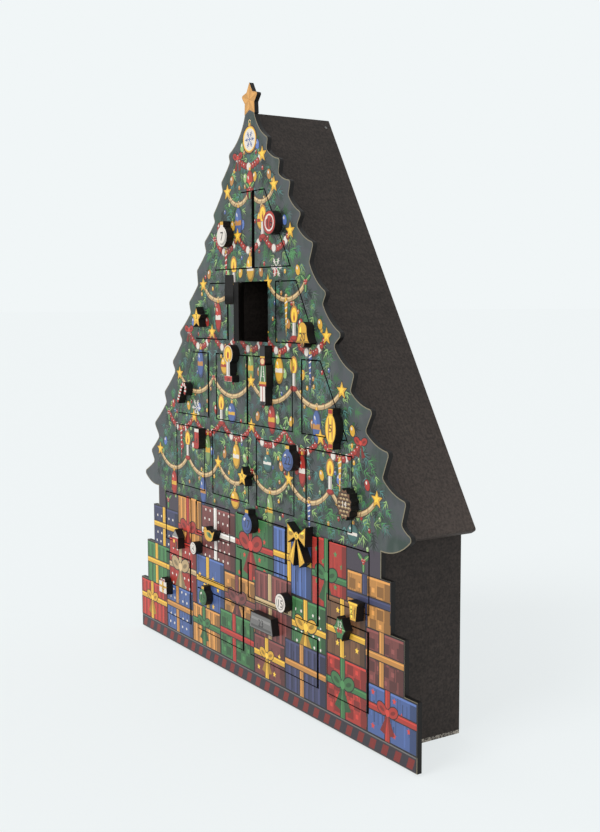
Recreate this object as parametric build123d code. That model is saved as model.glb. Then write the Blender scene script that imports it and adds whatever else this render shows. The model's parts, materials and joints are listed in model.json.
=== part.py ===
from build123d import *
from math import atan2, cos, hypot, pi, sin, tan
import os

# Front board, in millimetres. X runs across the front, the front faces -Y and Z is up.
tree_height = 510.0
tree_width = 450.0
board_thickness = 4.0
board_lift = 2.0
star_radius = 14.0
star_waist = 8.0
star_round = 1.5
neck_width = 15.0
tip_round = 3.0
notch_round = 3.0

# Cabinet behind the front board. The origin is the middle of the base's underside.
box_depth = 75.0
ridge_drop = 24.5
eave_inset = 30.0
eave_height = 162.0
eave_overhang = 17.0
eave_round = 2.0
roof_thickness = 8.0
wall_thickness = 6.0
base_thickness = 3.0
back_thickness = 5.0
shelf_thickness = 4.0
divider_thickness = 4.0

# Doors and their hinge pins
door_gap = 1.0
hinge_gap = 2.4
door_proud = 0.3
running_clearance = 0.3
pin_diameter = 1.6
pin_clearance = 0.05
pin_setback = 3.2
pin_seat = 3.0
pin_reach = 6.0
open_angle = 35.0
open_door = "door_04"

# Ornament knobs and ridge nail
knob_size = 20.0
knob_thickness = 7.0
cane_lean = 30.0
nail_diameter = 1.4
nail_head_diameter = 2.6
nail_head_height = 0.5
nail_bite = 5.0
nail_end_distance = 6.0
nail_ridge_distance = 8.0
overrun = 2.0

# Branch tips and the notches below them, from the top, as shares of the width and the height
right_tip_shares = (
    (0.063, 0.907),
    (0.103, 0.870),
    (0.138, 0.834),
    (0.172, 0.783),
    (0.210, 0.736),
    (0.249, 0.661),
    (0.294, 0.600),
    (0.330, 0.544),
    (0.380, 0.494),
    (0.424, 0.438),
    (0.468, 0.374),
    (0.483, 0.326),
)
right_notch_shares = (
    (0.059, 0.889),
    (0.099, 0.848),
    (0.132, 0.812),
    (0.159, 0.764),
    (0.198, 0.707),
    (0.239, 0.644),
    (0.272, 0.583),
    (0.320, 0.518),
    (0.362, 0.463),
    (0.408, 0.401),
    (0.458, 0.341),
)
left_tip_shares = (
    (-0.079, 0.893),
    (-0.109, 0.849),
    (-0.142, 0.797),
    (-0.180, 0.752),
    (-0.213, 0.704),
    (-0.249, 0.648),
    (-0.293, 0.593),
    (-0.328, 0.538),
    (-0.369, 0.479),
    (-0.419, 0.416),
    (-0.438, 0.362),
    (-0.471, 0.317),
)
left_notch_shares = (
    (-0.075, 0.880),
    (-0.104, 0.835),
    (-0.136, 0.785),
    (-0.174, 0.735),
    (-0.210, 0.679),
    (-0.243, 0.629),
    (-0.282, 0.578),
    (-0.316, 0.521),
    (-0.360, 0.460),
    (-0.398, 0.392),
    (-0.423, 0.342),
)
neck_sag_share = 0.11
right_sag_share = 0.09
left_sag_share = 0.02
lobe_belly_shares = (0.452, 0.303)
# Corners of the trunk and the three steps below the branches, on the right side
step_shares = (
    (0.405, 0.296),
    (0.405, 0.257),
    (0.431, 0.257),
    (0.431, 0.181),
    (0.467, 0.181),
    (0.467, 0.101),
    (0.500, 0.101),
    (0.500, 0.000),
)

# Foot and head of the doors' openings, as shares of the height
row_1_shares = (0.702, 0.828)
row_2_shares = (0.583, 0.681)
row_3_shares = (0.444, 0.560)
row_4_shares = (0.310, 0.424)
upper_side_shares = (0.197, 0.290)
upper_middle_shares = (0.229, 0.290)
tall_shares = (0.149, 0.290)
centre_shares = (0.149, 0.210)
lower_side_shares = (0.051, 0.173)
lower_middle_shares = (0.051, 0.129)

# Doors from the top left: hinge side, the opening's foot and head, and its left and right edges
# at the foot and at the head as shares of the width
door_shares = (
    ("right", row_1_shares, (-0.139, 0.011), (-0.034, 0.011)),
    ("left", row_1_shares, (0.011, 0.140), (0.011, 0.052)),
    ("right", row_2_shares, (-0.222, -0.085), (-0.160, -0.085)),
    ("left", row_2_shares, (-0.056, 0.061), (-0.056, 0.061)),
    ("left", row_2_shares, (0.086, 0.220), (0.086, 0.157)),
    ("right", row_3_shares, (-0.304, -0.167), (-0.234, -0.167)),
    ("left", row_3_shares, (-0.139, -0.016), (-0.139, -0.016)),
    ("left", row_3_shares, (-0.016, 0.144), (-0.016, 0.144)),
    ("left", row_3_shares, (0.171, 0.313), (0.171, 0.232)),
    ("left", row_4_shares, (-0.316, -0.189), (-0.316, -0.189)),
    ("left", row_4_shares, (-0.158, -0.013), (-0.158, -0.013)),
    ("left", row_4_shares, (0.014, 0.148), (0.014, 0.148)),
    ("left", row_4_shares, (0.184, 0.326), (0.184, 0.326)),
    ("left", upper_side_shares, (-0.372, -0.252), (-0.372, -0.252)),
    ("left", upper_middle_shares, (-0.229, -0.087), (-0.229, -0.087)),
    ("right", upper_middle_shares, (-0.060, 0.122), (-0.060, 0.122)),
    ("right", tall_shares, (0.149, 0.226), (0.149, 0.226)),
    ("left", upper_side_shares, (0.254, 0.374), (0.254, 0.374)),
    ("right", lower_side_shares, (-0.372, -0.255), (-0.372, -0.255)),
    ("right", centre_shares, (-0.224, -0.042), (-0.224, -0.042)),
    ("left", centre_shares, (-0.020, 0.125), (-0.020, 0.125)),
    ("right", lower_side_shares, (0.252, 0.374), (0.252, 0.374)),
    ("right", lower_middle_shares, (-0.227, -0.034), (-0.227, -0.034)),
    ("right", lower_middle_shares, (-0.011, 0.226), (-0.011, 0.226)),
)

# Knobs in the same order: shape, width and height as shares of the knob size,
# then the knob's middle as shares of its door's opening, across and up
knob_shares = (
    ("bauble", 0.90, 1.10, 0.09, 0.47),
    ("disc", 0.95, 0.95, 1.02, 0.55),
    ("star", 1.00, 1.00, 0.09, 0.38),
    ("drop", 0.65, 1.20, 0.92, 0.86),
    ("bell", 1.05, 1.00, 0.92, 0.15),
    ("cane", 0.60, 1.20, 0.22, 0.33),
    ("candle", 0.80, 1.60, 0.64, 0.87),
    ("soldier", 0.60, 2.45, 0.52, 0.74),
    ("lantern", 0.73, 1.55, 0.88, 0.15),
    ("stocking", 0.70, 0.95, 0.92, 0.84),
    ("star", 0.90, 0.90, 1.02, 0.41),
    ("bauble", 0.85, 1.05, 1.02, 0.83),
    ("pinecone", 1.00, 1.22, 0.99, 0.39),
    ("house", 0.76, 0.92, 0.63, 0.13),
    ("bird", 1.15, 0.75, 0.58, 0.13),
    ("bauble", 0.85, 1.05, 0.36, 0.90),
    ("bow", 1.35, 1.70, 0.385, 0.86),
    ("cup", 0.62, 0.72, 0.80, 0.04),
    ("parcel", 0.82, 0.76, 0.11, 0.47),
    ("disc", 0.60, 0.60, 0.05, 0.90),
    ("disc", 0.80, 0.80, 0.99, 0.32),
    ("holly", 0.85, 0.88, 0.49, 0.95),
    ("bauble", 0.75, 0.90, 0.27, 0.93),
    ("plate", 1.90, 0.70, 0.28, 0.90),
)

# Places that follow from the sizes above
tree_top = board_lift + tree_height
star_middle = tree_top - star_radius
ridge_height = tree_top - ridge_drop
eave_reach = tree_width / 2 - eave_inset
wall_reach = eave_reach - eave_overhang
roof_angle = atan2(eave_reach, ridge_height - eave_height)
box_front = -box_depth / 2
box_back = box_depth / 2
board_front = box_front - board_thickness
back_front = box_back - back_thickness
door_front = board_front - door_proud
pin_depth = door_front + board_thickness / 2
stub_sweep = hypot(pin_setback, board_thickness / 2)
divider_front = max(box_front, pin_depth + stub_sweep + running_clearance)


def slab(face, front, back):
    """A board of this outline, given across and up, from one depth to another."""
    plane = Plane(origin=(0, back, 0), x_dir=(1, 0, 0), z_dir=(0, -1, 0))
    return extrude(plane * face, back - front, dir=(0, -1, 0))


def polygon(points):
    return make_face(Polyline(*points, close=True))


def block_face(left, right, foot, head):
    return polygon([(left, foot), (right, foot), (right, head), (left, head)])


def on_front(shares):
    """A point of the front board from its shares of the width and the height."""
    return (shares[0] * tree_width, board_lift + shares[1] * tree_height)


def corner(door, across, up):
    """A place in a door's opening, from 0 to 1 across it and up it."""
    hinge, rows, foot, head = door
    left = foot[0] + (head[0] - foot[0]) * up
    right = foot[1] + (head[1] - foot[1]) * up
    return on_front((left + (right - left) * across, rows[0] + (rows[1] - rows[0]) * up))


def opening_outline(door):
    return [corner(door, *at) for at in ((0, 0), (1, 0), (1, 1), (0, 1))]


def inset_edge(foot, head, gap, foot_z, head_z):
    """An opening's side edge moved across by a gap square to it, at two heights."""
    lean = (head[0] - foot[0]) / (head[1] - foot[1])
    step = gap * hypot(1, lean)
    return [foot[0] + lean * (z - foot[1]) + step for z in (foot_z, head_z)]


def door_outline(door):
    """The door's corners: its opening less the gaps round it."""
    foot_left, foot_right, head_right, head_left = opening_outline(door)
    foot_z = foot_left[1] + door_gap
    head_z = head_left[1] - door_gap
    left_gap = hinge_gap if door[0] == "left" else door_gap
    right_gap = hinge_gap if door[0] == "right" else door_gap
    left = inset_edge(foot_left, head_left, left_gap, foot_z, head_z)
    right = inset_edge(foot_right, head_right, -right_gap, foot_z, head_z)
    return [(left[0], foot_z), (right[0], foot_z), (right[1], head_z), (left[1], head_z)]


def hinge_across(door):
    """Where the door's hinge pins stand, across the front."""
    inset = hinge_gap + pin_setback
    if door[0] == "left":
        return corner(door, 0, 0)[0] + inset
    return corner(door, 1, 0)[0] - inset


def hinge_axis(door):
    """The line that the door turns on. A positive turn about it opens the door."""
    upward = 1 if door[0] == "right" else -1
    return Axis((hinge_across(door), pin_depth, 0), (0, 0, upward))


def door_name(number):
    return f"door_{number:02d}"


def rest_angle(number):
    return open_angle if door_name(number) == open_door else 0


def pin(door, foot, head, radius):
    """An upright pin on the door's hinge line."""
    middle = Pos(hinge_across(door), pin_depth, (foot + head) / 2)
    return middle * Cylinder(radius, head - foot)


def door_pins(door, radius, seat, reach):
    """The pins below and above a door, from their seats in the board to their ends in the door."""
    foot = corner(door, 0, 0)[1]
    head = corner(door, 0, 1)[1]
    below = pin(door, foot - seat, foot + door_gap + reach, radius)
    above = pin(door, head - door_gap - reach, head + seat, radius)
    return [below, above]


# Outline of the front board
def peak(above, tip, below):
    """The sharp corner whose rounding reaches a branch's tip, from the points above and below the tip."""
    rise = (Vector(*above) - Vector(*tip)).normalized()
    fall = (Vector(*below) - Vector(*tip)).normalized()
    reach = tip_round * (2 / (rise - fall).length - 1)
    corner_point = Vector(*tip) - (rise + fall).normalized() * reach
    return (corner_point.X, corner_point.Y)


def branch(start, end, sag_share, out):
    """The sagging upper edge of a branch. Out is 1 to the right, -1 to the left."""
    run = (end[0] - start[0], end[1] - start[1])
    sag = (
        start[0] + run[0] / 2 + out * run[1] * sag_share,
        start[1] + run[1] / 2 - out * run[0] * sag_share,
    )
    return ThreePointArc(start, sag, end)


def tree_side(tip_shares, notch_shares, sag_share, out):
    """One side of the tree from its neck to its foot: its edges, its branch tips and its notches."""
    steps = [on_front((out * across, up)) for across, up in step_shares]
    belly = on_front((out * lobe_belly_shares[0], lobe_belly_shares[1]))
    notches = [on_front(shares) for shares in notch_shares]
    starts = [(out * neck_width / 2, star_middle - star_radius * cos(pi / 5))] + notches
    sags = [neck_sag_share] + [sag_share] * len(notches)
    edges = []
    peaks = []
    for start, tip, below, sag in zip(starts, tip_shares, notches + [belly], sags):
        peaks.append(peak(start, on_front(tip), below))
        edges.append(branch(start, peaks[-1], sag, out))
    edges += [Line(end, below) for end, below in zip(peaks, notches)]
    edges += [ThreePointArc(peaks[-1], belly, steps[0]), Polyline(*steps)]
    return edges, peaks, notches


def rounded(face, points, radius):
    """A face with its corners nearest to these points rounded."""
    return fillet([face.vertices().sort_by_distance(point)[0] for point in points], radius)


def tree_face():
    right, right_peaks, right_notches = tree_side(right_tip_shares, right_notch_shares, right_sag_share, 1)
    left, left_peaks, left_notches = tree_side(left_tip_shares, left_notch_shares, left_sag_share, -1)
    top = (0, star_middle)
    neck = [Line(left[0] @ 0, top), Line(top, right[0] @ 0)]
    face = make_face(right + left + neck + [Line(right[-1] @ 1, left[-1] @ 1)])
    face = rounded(face, right_peaks + left_peaks, tip_round)
    return rounded(face, right_notches + left_notches, notch_round)


def star_points(radius, waist):
    """Ten corners of a five-pointed star, from its top point round."""
    lengths = [radius, waist] * 5
    return [(r * sin(i * pi / 5), r * cos(i * pi / 5)) for i, r in enumerate(lengths)]


def board_star():
    """The star above the tree, with its two side points rounded."""
    star = polygon(star_points(star_radius, star_waist))
    tips = star.vertices().sort_by(Axis.X)
    return Pos(0, star_middle) * fillet([tips[0], tips[-1]], star_round)


def front_board():
    board = slab(tree_face() + board_star(), board_front, box_front)
    for door in door_shares:
        board -= slab(polygon(opening_outline(door)), board_front - overrun, box_front + overrun)
    for door in door_shares:
        for seat in door_pins(door, pin_diameter / 2, pin_seat, pin_reach):
            board -= seat
    return board


def make_door(number, door):
    """A door with its two pin holes, turned to the angle at which it rests."""
    leaf = slab(polygon(door_outline(door)), door_front, door_front + board_thickness)
    radius = pin_diameter / 2 + pin_clearance
    for hole in door_pins(door, radius, 0, pin_reach + running_clearance):
        leaf -= hole
    return leaf.rotate(hinge_axis(door), rest_angle(number))


def hinge_pins():
    pins = []
    for door in door_shares:
        pins += door_pins(door, pin_diameter / 2, pin_seat, pin_reach)
    return pins


# Cabinet boards
def inner_roof_height(across):
    """Height of the roof's underside at a distance from the middle."""
    return ridge_height - (abs(across) + roof_thickness / cos(roof_angle)) / tan(roof_angle)


def along_roof(out, run, depth):
    """A point of a roof board by its run down from the ridge and its depth below the outer face."""
    across = run * sin(roof_angle) - depth * cos(roof_angle)
    return (out * across, ridge_height - run * cos(roof_angle) - depth * sin(roof_angle))


roof_run = eave_reach / sin(roof_angle)
# Run of the lap on the right board's underside, from the left board's outer face to its inner one
lap_start = roof_thickness / tan(2 * roof_angle)
lap_end = roof_thickness / tan(roof_angle)


def roof_board(points):
    board = slab(polygon(points), box_front, box_back)
    rims = board.edges().filter_by(Axis.Y).group_by(Axis.Z)[0:2]
    return fillet([edge for group in rims for edge in group], eave_round)


def right_roof():
    board = roof_board(
        [
            along_roof(1, 0, 0),
            along_roof(1, roof_run, 0),
            along_roof(1, roof_run, roof_thickness),
            along_roof(1, lap_start, roof_thickness),
        ]
    )
    return board - ridge_nail()


def left_roof():
    board = roof_board(
        [
            along_roof(1, lap_start, roof_thickness),
            along_roof(-1, roof_run, 0),
            along_roof(-1, roof_run, roof_thickness),
            along_roof(1, lap_end, roof_thickness),
        ]
    )
    return board - ridge_nail()


def ridge_nail():
    """A nail near the back, through the right roof board into the end of the left one."""
    across, height = along_roof(1, nail_ridge_distance, 0)
    inward = (-cos(roof_angle), 0, -sin(roof_angle))
    plane = Plane(origin=(across, box_back - nail_end_distance, height), z_dir=inward)
    shank = extrude(plane * Circle(nail_diameter / 2), roof_thickness + nail_bite)
    head = extrude(plane * Circle(nail_head_diameter / 2), -nail_head_height)
    return shank + head


def side_wall(out):
    inner = wall_reach - wall_thickness
    outline = [
        (out * inner, base_thickness),
        (out * wall_reach, base_thickness),
        (out * wall_reach, inner_roof_height(wall_reach)),
        (out * inner, inner_roof_height(inner)),
    ]
    return slab(polygon(outline), box_front, box_back)


def base_board():
    return slab(block_face(-wall_reach, wall_reach, 0, base_thickness), box_front, box_back)


def inside_face():
    """Section of the space between the roof boards, the walls and the base."""
    inner = wall_reach - wall_thickness
    return polygon(
        [
            (-inner, base_thickness),
            (inner, base_thickness),
            (inner, inner_roof_height(inner)),
            (0, inner_roof_height(0)),
            (-inner, inner_roof_height(inner)),
        ]
    )


def back_panel():
    return slab(inside_face(), back_front, box_back)


# Shelves and dividers between the compartments
def between(lower, upper):
    """Height halfway between the head of a lower opening and the foot of an upper one."""
    return board_lift + (lower[1] + upper[0]) / 2 * tree_height


def midway(left, right):
    """Place halfway between a door's right edge and the left edge of the door beside it."""
    return (corner(door_shares[left - 1], 1, 0)[0] + corner(door_shares[right - 1], 0, 0)[0]) / 2


inner_wall = wall_reach - wall_thickness
shelf_heights = {
    "top": between(row_2_shares, row_1_shares),
    "second": between(row_3_shares, row_2_shares),
    "third": between(row_4_shares, row_3_shares),
    "fourth": between(upper_side_shares, row_4_shares),
    "side": between(lower_side_shares, upper_side_shares),
    "middle": between(centre_shares, upper_middle_shares),
    "low": between(lower_middle_shares, centre_shares),
}
left_upright = midway(14, 15)
tall_upright = midway(16, 17)
right_upright = midway(17, 18)
half_divider = divider_thickness / 2


def shelf(name, left, right):
    """A shelf from one place to another, cut to the inside of the cabinet."""
    foot = shelf_heights[name] - shelf_thickness / 2
    head = foot + shelf_thickness
    return slab(inside_face() & block_face(left, right, foot, head), box_front, back_front)


def shelves():
    full = [shelf(name, -eave_reach, eave_reach) for name in ("top", "second", "third", "fourth")]
    return full + [
        shelf("side", -inner_wall, left_upright - half_divider),
        shelf("side", right_upright + half_divider, inner_wall),
        shelf("middle", left_upright + half_divider, tall_upright - half_divider),
        shelf("low", left_upright + half_divider, right_upright - half_divider),
    ]


def divider(across, lower, upper):
    """An upright board between two shelves, or from the base, or up to the roof."""
    half_shelf = shelf_thickness / 2
    foot = shelf_heights[lower] + half_shelf if lower else base_thickness
    top = min(inner_roof_height(across - half_divider), inner_roof_height(across + half_divider))
    head = shelf_heights[upper] - half_shelf if upper else top
    face = block_face(across - half_divider, across + half_divider, foot, head)
    return slab(face, divider_front, back_front)


def dividers():
    return [
        divider(midway(1, 2), "top", None),
        divider(midway(3, 4), "second", "top"),
        divider(midway(4, 5), "second", "top"),
        divider(midway(6, 7), "third", "second"),
        divider(midway(7, 8), "third", "second"),
        divider(midway(8, 9), "third", "second"),
        divider(midway(10, 11), "fourth", "third"),
        divider(midway(11, 12), "fourth", "third"),
        divider(midway(12, 13), "fourth", "third"),
        divider(left_upright, None, "fourth"),
        divider(midway(15, 16), "middle", "fourth"),
        divider(tall_upright, "low", "fourth"),
        divider(right_upright, None, "fourth"),
        divider(midway(20, 21), "low", "middle"),
        divider(midway(23, 24), None, "low"),
    ]


# Knob outlines, each as wide and as high as it is told, about its middle, the cane before it leans
def disc(width, height):
    return Circle(width / 2)


def bauble(width, height):
    ball = Pos(0, (width - height) / 2) * Circle(width / 2)
    cap = Pos(0, height / 2 - width / 4) * Rectangle(width * 0.34, width / 2)
    return ball + cap


def star(width, height):
    return polygon(star_points(height / 2, height * 0.24))


def drop(width, height):
    ball = Pos(0, (width - height) / 2) * Circle(width / 2)
    point = polygon([(-width * 0.44, -height * 0.12), (width * 0.44, -height * 0.12), (0, height / 2)])
    return ball + point


def bell(width, height):
    rim = -height * 0.32
    shoulder = height * 0.2
    side = width / 2
    neck = width * 0.3
    edges = [
        Line((-side, rim), (side, rim)),
        ThreePointArc((side, rim), (neck * 1.15, -height * 0.1), (neck, shoulder)),
        ThreePointArc((neck, shoulder), (0, height / 2), (-neck, shoulder)),
        ThreePointArc((-neck, shoulder), (-neck * 1.15, -height * 0.1), (-side, rim)),
    ]
    clapper = Pos(0, -height * 0.36) * Circle(height * 0.14)
    return make_face(edges) + clapper


def cane(width, height):
    bar = width * 0.32
    radius = width / 2
    crook = Pos(0, height / 2 - radius) * (Circle(radius) - Circle(radius - bar))
    upper = Pos(0, height / 2 - radius / 2) * Rectangle(width, radius)
    leg_height = height - radius
    leg = Pos(bar / 2 - radius, -height / 2 + leg_height / 2) * Rectangle(bar, leg_height)
    end = Pos(radius - bar / 2, height / 2 - radius - bar / 2) * Rectangle(bar, bar)
    return Rot(0, 0, -cane_lean) * ((crook & upper) + leg + end)


def candle(width, height):
    glow = Pos(0, (height - width) / 2) * Circle(width / 2)
    stem = Pos(0, -height * 0.1) * Rectangle(width * 0.4, height * 0.6)
    foot_height = height * 0.18
    foot = Pos(0, (foot_height - height) / 2) * Rectangle(width * 0.85, foot_height)
    return glow + stem + foot


def soldier(width, height):
    hat = Pos(0, height * 0.39) * Rectangle(width * 0.66, height * 0.22)
    head = Pos(0, height * 0.24) * Circle(width * 0.36)
    body = Pos(0, 0) * Rectangle(width, height * 0.36)
    legs = Pos(0, -height * 0.32) * Rectangle(width * 0.7, height * 0.36)
    return hat + head + body + legs


def lantern(width, height):
    middle = Ellipse(width / 2, height * 0.38)
    ends = Rectangle(width * 0.45, height)
    return middle + ends


def stocking(width, height):
    leg = Pos(width * 0.18, height * 0.1) * Rectangle(width * 0.64, height * 0.8)
    foot = Pos(0, -height * 0.32) * RectangleRounded(width, height * 0.36, height * 0.17)
    return leg + foot


def pinecone(width, height):
    count = 12
    points = []
    for i in range(2 * count):
        turn = i * pi / count
        reach = 1 if i % 2 else 0.84
        points.append((width / 2 * reach * sin(turn), height / 2 * reach * cos(turn)))
    return polygon(points)


def house(width, height):
    walls = Pos(0, -height * 0.2) * Rectangle(width * 0.8, height * 0.6)
    gable = polygon([(-width / 2, height * 0.08), (width / 2, height * 0.08), (0, height / 2)])
    return walls + gable


def bird(width, height):
    body = Ellipse(width * 0.36, height * 0.36)
    head = Pos(-width * 0.28, height * 0.26) * Circle(height * 0.24)
    cheek = -width * 0.3
    beak = polygon([(cheek, height * 0.34), (-width / 2, height * 0.24), (cheek, height * 0.14)])
    tail = polygon([(width * 0.2, height * 0.2), (width / 2, height * 0.42), (width * 0.3, -height * 0.2)])
    return body + head + beak + tail


def bow(width, height):
    middle = height * 0.24
    loops = [
        polygon([(0, middle), (out * width / 2, height / 2), (out * width * 0.46, height * 0.02)])
        for out in (-1, 1)
    ]
    tails = [
        polygon([(0, middle), (out * width * 0.46, -height * 0.34), (out * width * 0.16, -height / 2)])
        for out in (-1, 1)
    ]
    knot = Pos(0, middle) * Circle(width * 0.13)
    return knot + loops[0] + loops[1] + tails[0] + tails[1]


def tapered(foot_width, head_width, height):
    """An upright outline with a foot and a head of their own widths."""
    foot = foot_width / 2
    head = head_width / 2
    top = height / 2
    return polygon([(-foot, -top), (foot, -top), (head, top), (-head, top)])


def cup(width, height):
    body = tapered(width * 0.6, width * 0.9, height)
    rim = Pos(0, height * 0.42) * Rectangle(width, height * 0.16)
    return body + rim


def parcel(width, height):
    box = Pos(0, -height * 0.1) * Rectangle(width, height * 0.8)
    loops = [Pos(out * width * 0.16, height * 0.34) * Circle(height * 0.16) for out in (-1, 1)]
    return box + loops[0] + loops[1]


def holly(width, height):
    """A leaf with three hollows along each side, between two points."""
    spikes = [(-width / 2, 0), (-width * 0.2, height / 2), (width * 0.2, height / 2), (width / 2, 0)]
    spikes += [(width * 0.2, -height / 2), (-width * 0.2, -height / 2)]
    edges = []
    for start, end in zip(spikes, spikes[1:] + spikes[:1]):
        middle = ((start[0] + end[0]) * 0.42, (start[1] + end[1]) * 0.42)
        edges.append(ThreePointArc(start, middle, end))
    return make_face(edges)


def plate(width, height):
    return tapered(width, width * 0.84, height)


outlines = {
    "disc": disc,
    "bauble": bauble,
    "star": star,
    "drop": drop,
    "bell": bell,
    "cane": cane,
    "candle": candle,
    "soldier": soldier,
    "lantern": lantern,
    "stocking": stocking,
    "pinecone": pinecone,
    "house": house,
    "bird": bird,
    "bow": bow,
    "cup": cup,
    "parcel": parcel,
    "holly": holly,
    "plate": plate,
}


def knob_name(number):
    return f"knob_{number:02d}_{knob_shares[number - 1][0]}"


def make_knob(number, door):
    """The ornament on a door's front, over the door's free edge, turned with the door."""
    shape, width_share, height_share, across, up = knob_shares[number - 1]
    outline = outlines[shape](width_share * knob_size, height_share * knob_size)
    middle = corner(door, across, up)
    knob = slab(Pos(*middle) * outline, door_front - knob_thickness, door_front)
    return knob.rotate(hinge_axis(door), rest_angle(number))


def all_parts():
    parts = {
        "front_board": front_board(),
        "right_roof": right_roof(),
        "left_roof": left_roof(),
        "right_wall": side_wall(1),
        "left_wall": side_wall(-1),
        "base": base_board(),
        "back_panel": back_panel(),
        "shelves": Compound(children=shelves()),
        "dividers": Compound(children=dividers()),
        "hinge_pins": Compound(children=hinge_pins()),
        "ridge_nail": ridge_nail(),
    }
    for number, door in enumerate(door_shares, 1):
        parts[door_name(number)] = make_door(number, door)
        parts[knob_name(number)] = make_knob(number, door)
    return parts


def main():
    os.makedirs("parts", exist_ok=True)
    for name, shape in all_parts().items():
        export_step(shape, f"parts/{name}.step")


if __name__ == "__main__":
    main()
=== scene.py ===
import json
import random
from math import asin, cos, degrees, hypot, pi, radians, sin

import bmesh
import bpy
from bpy.props import FloatProperty, FloatVectorProperty, IntProperty, PointerProperty
from mathutils import Matrix, Vector
from mathutils.geometry import convex_hull_2d


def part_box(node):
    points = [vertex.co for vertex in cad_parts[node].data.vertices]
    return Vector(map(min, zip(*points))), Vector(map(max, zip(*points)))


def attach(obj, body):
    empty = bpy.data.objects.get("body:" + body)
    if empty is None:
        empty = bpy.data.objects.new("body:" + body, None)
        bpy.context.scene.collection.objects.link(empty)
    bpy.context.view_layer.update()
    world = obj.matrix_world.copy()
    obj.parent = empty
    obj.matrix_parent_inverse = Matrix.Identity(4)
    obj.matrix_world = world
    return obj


bl_info = {
    "name": "Tree calendar",
    "version": (1, 0, 0),
    "blender": (4, 5, 0),
    "location": "View3D > Sidebar > Calendar",
    "description": "Paints the cabinet, the printed front and the knobs of a wooden tree calendar",
    "category": "Object",
}

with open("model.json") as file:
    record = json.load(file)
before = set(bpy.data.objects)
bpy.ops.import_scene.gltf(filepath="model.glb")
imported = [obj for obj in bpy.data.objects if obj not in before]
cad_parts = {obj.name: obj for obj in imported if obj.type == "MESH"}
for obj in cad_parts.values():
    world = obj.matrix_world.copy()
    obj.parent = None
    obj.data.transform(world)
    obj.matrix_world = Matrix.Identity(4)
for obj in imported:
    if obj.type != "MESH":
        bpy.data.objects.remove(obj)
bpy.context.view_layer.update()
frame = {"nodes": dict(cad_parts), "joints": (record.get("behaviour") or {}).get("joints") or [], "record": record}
MM = 0.001


def screen(red, green, blue):
    """A colour as a screen shows it, 0 to 255, as the linear colour that a shader takes."""
    shares = (red / 255, green / 255, blue / 255)
    return tuple(s / 12.92 if s <= 0.04045 else ((s + 0.055) / 1.055) ** 2.4 for s in shares)


def colour(label, text, red, green, blue):
    tint = screen(red, green, blue)
    return FloatVectorProperty(name=label, description=text, default=tint, subtype="COLOR", min=0.0, max=1.0)


def length(label, text, millimetres):
    size = millimetres * MM
    return FloatProperty(name=label, description=text, default=size, unit="LENGTH", min=0.0, precision=6)


class CalendarSizes(bpy.types.PropertyGroup):
    """Sizes of the print and of the stage."""

    film: length("Film", "Thickness of the printed ground", 0.06)
    layer: length("Layer", "Step from one printed layer to the next", 0.006)
    # The pale line along the board's edge is partly raw fibreboard and partly a painted highlight on the rounded
    # edge
    rim: length("Rim", "Width of the bare line along the board's edge", 0.8)
    knob_rim: length("Knob rim", "Width of the dark line round a knob's face", 0.45)
    free_gap: length("Free gap", "Gap at a door's free edges", 1.0)
    hinge_gap: length("Hinge gap", "Gap at a door's hinge edge", 2.4)
    twig_spacing: length("Twig spacing", "Distance between the twigs", 5.0)
    twig: length("Twig", "Length of a twig with its needles", 10.5)
    margin: length("Margin", "Plain edge of the tree without twigs", 13.0)
    floor: length("Floor", "Half the width of the floor", 60000.0)
    seed: IntProperty(name="Seed", description="Where the twigs and lights fall", default=7, min=0)


class CalendarColours(bpy.types.PropertyGroup):
    """Colours of the boards and of the paints."""

    cabinet: colour("Cabinet", "Dark stain on the cabinet boards", 50, 44, 41)
    edge: colour("Edge", "Black paint on the edges of the board, doors and knobs", 19, 17, 16)
    fibre: colour("Fibre", "Bare fibreboard at the base's edge", 206, 198, 184)
    # Colour of the pale edge line: raw fibreboard together with a painted highlight on the rounded edge
    bare: colour("Bare", "Bare line along the board's edge", 130, 121, 98)
    slate: colour("Slate", "Cool part of the printed ground", 73, 75, 79)
    fir: colour("Fir", "Green part of the printed ground", 55, 74, 65)
    moss: colour("Moss", "Light part of the printed ground", 84, 91, 88)
    steel: colour("Steel", "Hinge pins and nails", 120, 118, 116)
    backdrop: colour("Backdrop", "Floor and surroundings", 241, 246, 247)
    honey: colour("Honey", "Wooden star at the top", 200, 147, 80)
    red: colour("Red", "Beads, ribbons and wrapping", 168, 52, 42)
    maroon: colour("Maroon", "Wrapping", 116, 62, 58)
    white: colour("White", "Beads and candles", 226, 218, 208)
    gold: colour("Gold", "Stars, bells and bows", 218, 168, 58)
    ochre: colour("Ochre", "Wrapping and glow", 186, 130, 66)
    tan: colour("Tan", "Rope swags", 184, 158, 116)
    green: colour("Green", "Needles and ribbons", 62, 112, 66)
    leaf: colour("Leaf", "Light needles", 122, 150, 92)
    teal: colour("Teal", "Cool needles", 66, 104, 100)
    blue: colour("Blue", "Baubles and wrapping", 74, 96, 148)
    navy: colour("Navy", "Wrapping", 58, 60, 90)
    brown: colour("Brown", "Cones and bark", 112, 76, 48)
    grey: colour("Grey", "Roof and plate", 112, 110, 108)
    ink: colour("Ink", "Outlines and numbers", 30, 26, 27)
    plum: colour("Plum", "Ground behind the parcels", 66, 58, 68)


class CalendarSettings(bpy.types.PropertyGroup):
    """All settings of the calendar."""

    sizes: PointerProperty(type=CalendarSizes)
    colours: PointerProperty(type=CalendarColours)


def sizes():
    return bpy.context.scene.calendar.sizes


def shade(name, factor=1.0):
    """One of the settings' colours, darker or lighter, with its alpha."""
    base = getattr(bpy.context.scene.calendar.colours, name)
    return tuple(min(1.0, c * factor) for c in base) + (1.0,)


def neutral(value):
    """One value for red, green and blue: a share for a mix, or a factor on a colour."""
    return (value, value, value, 1.0)


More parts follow.
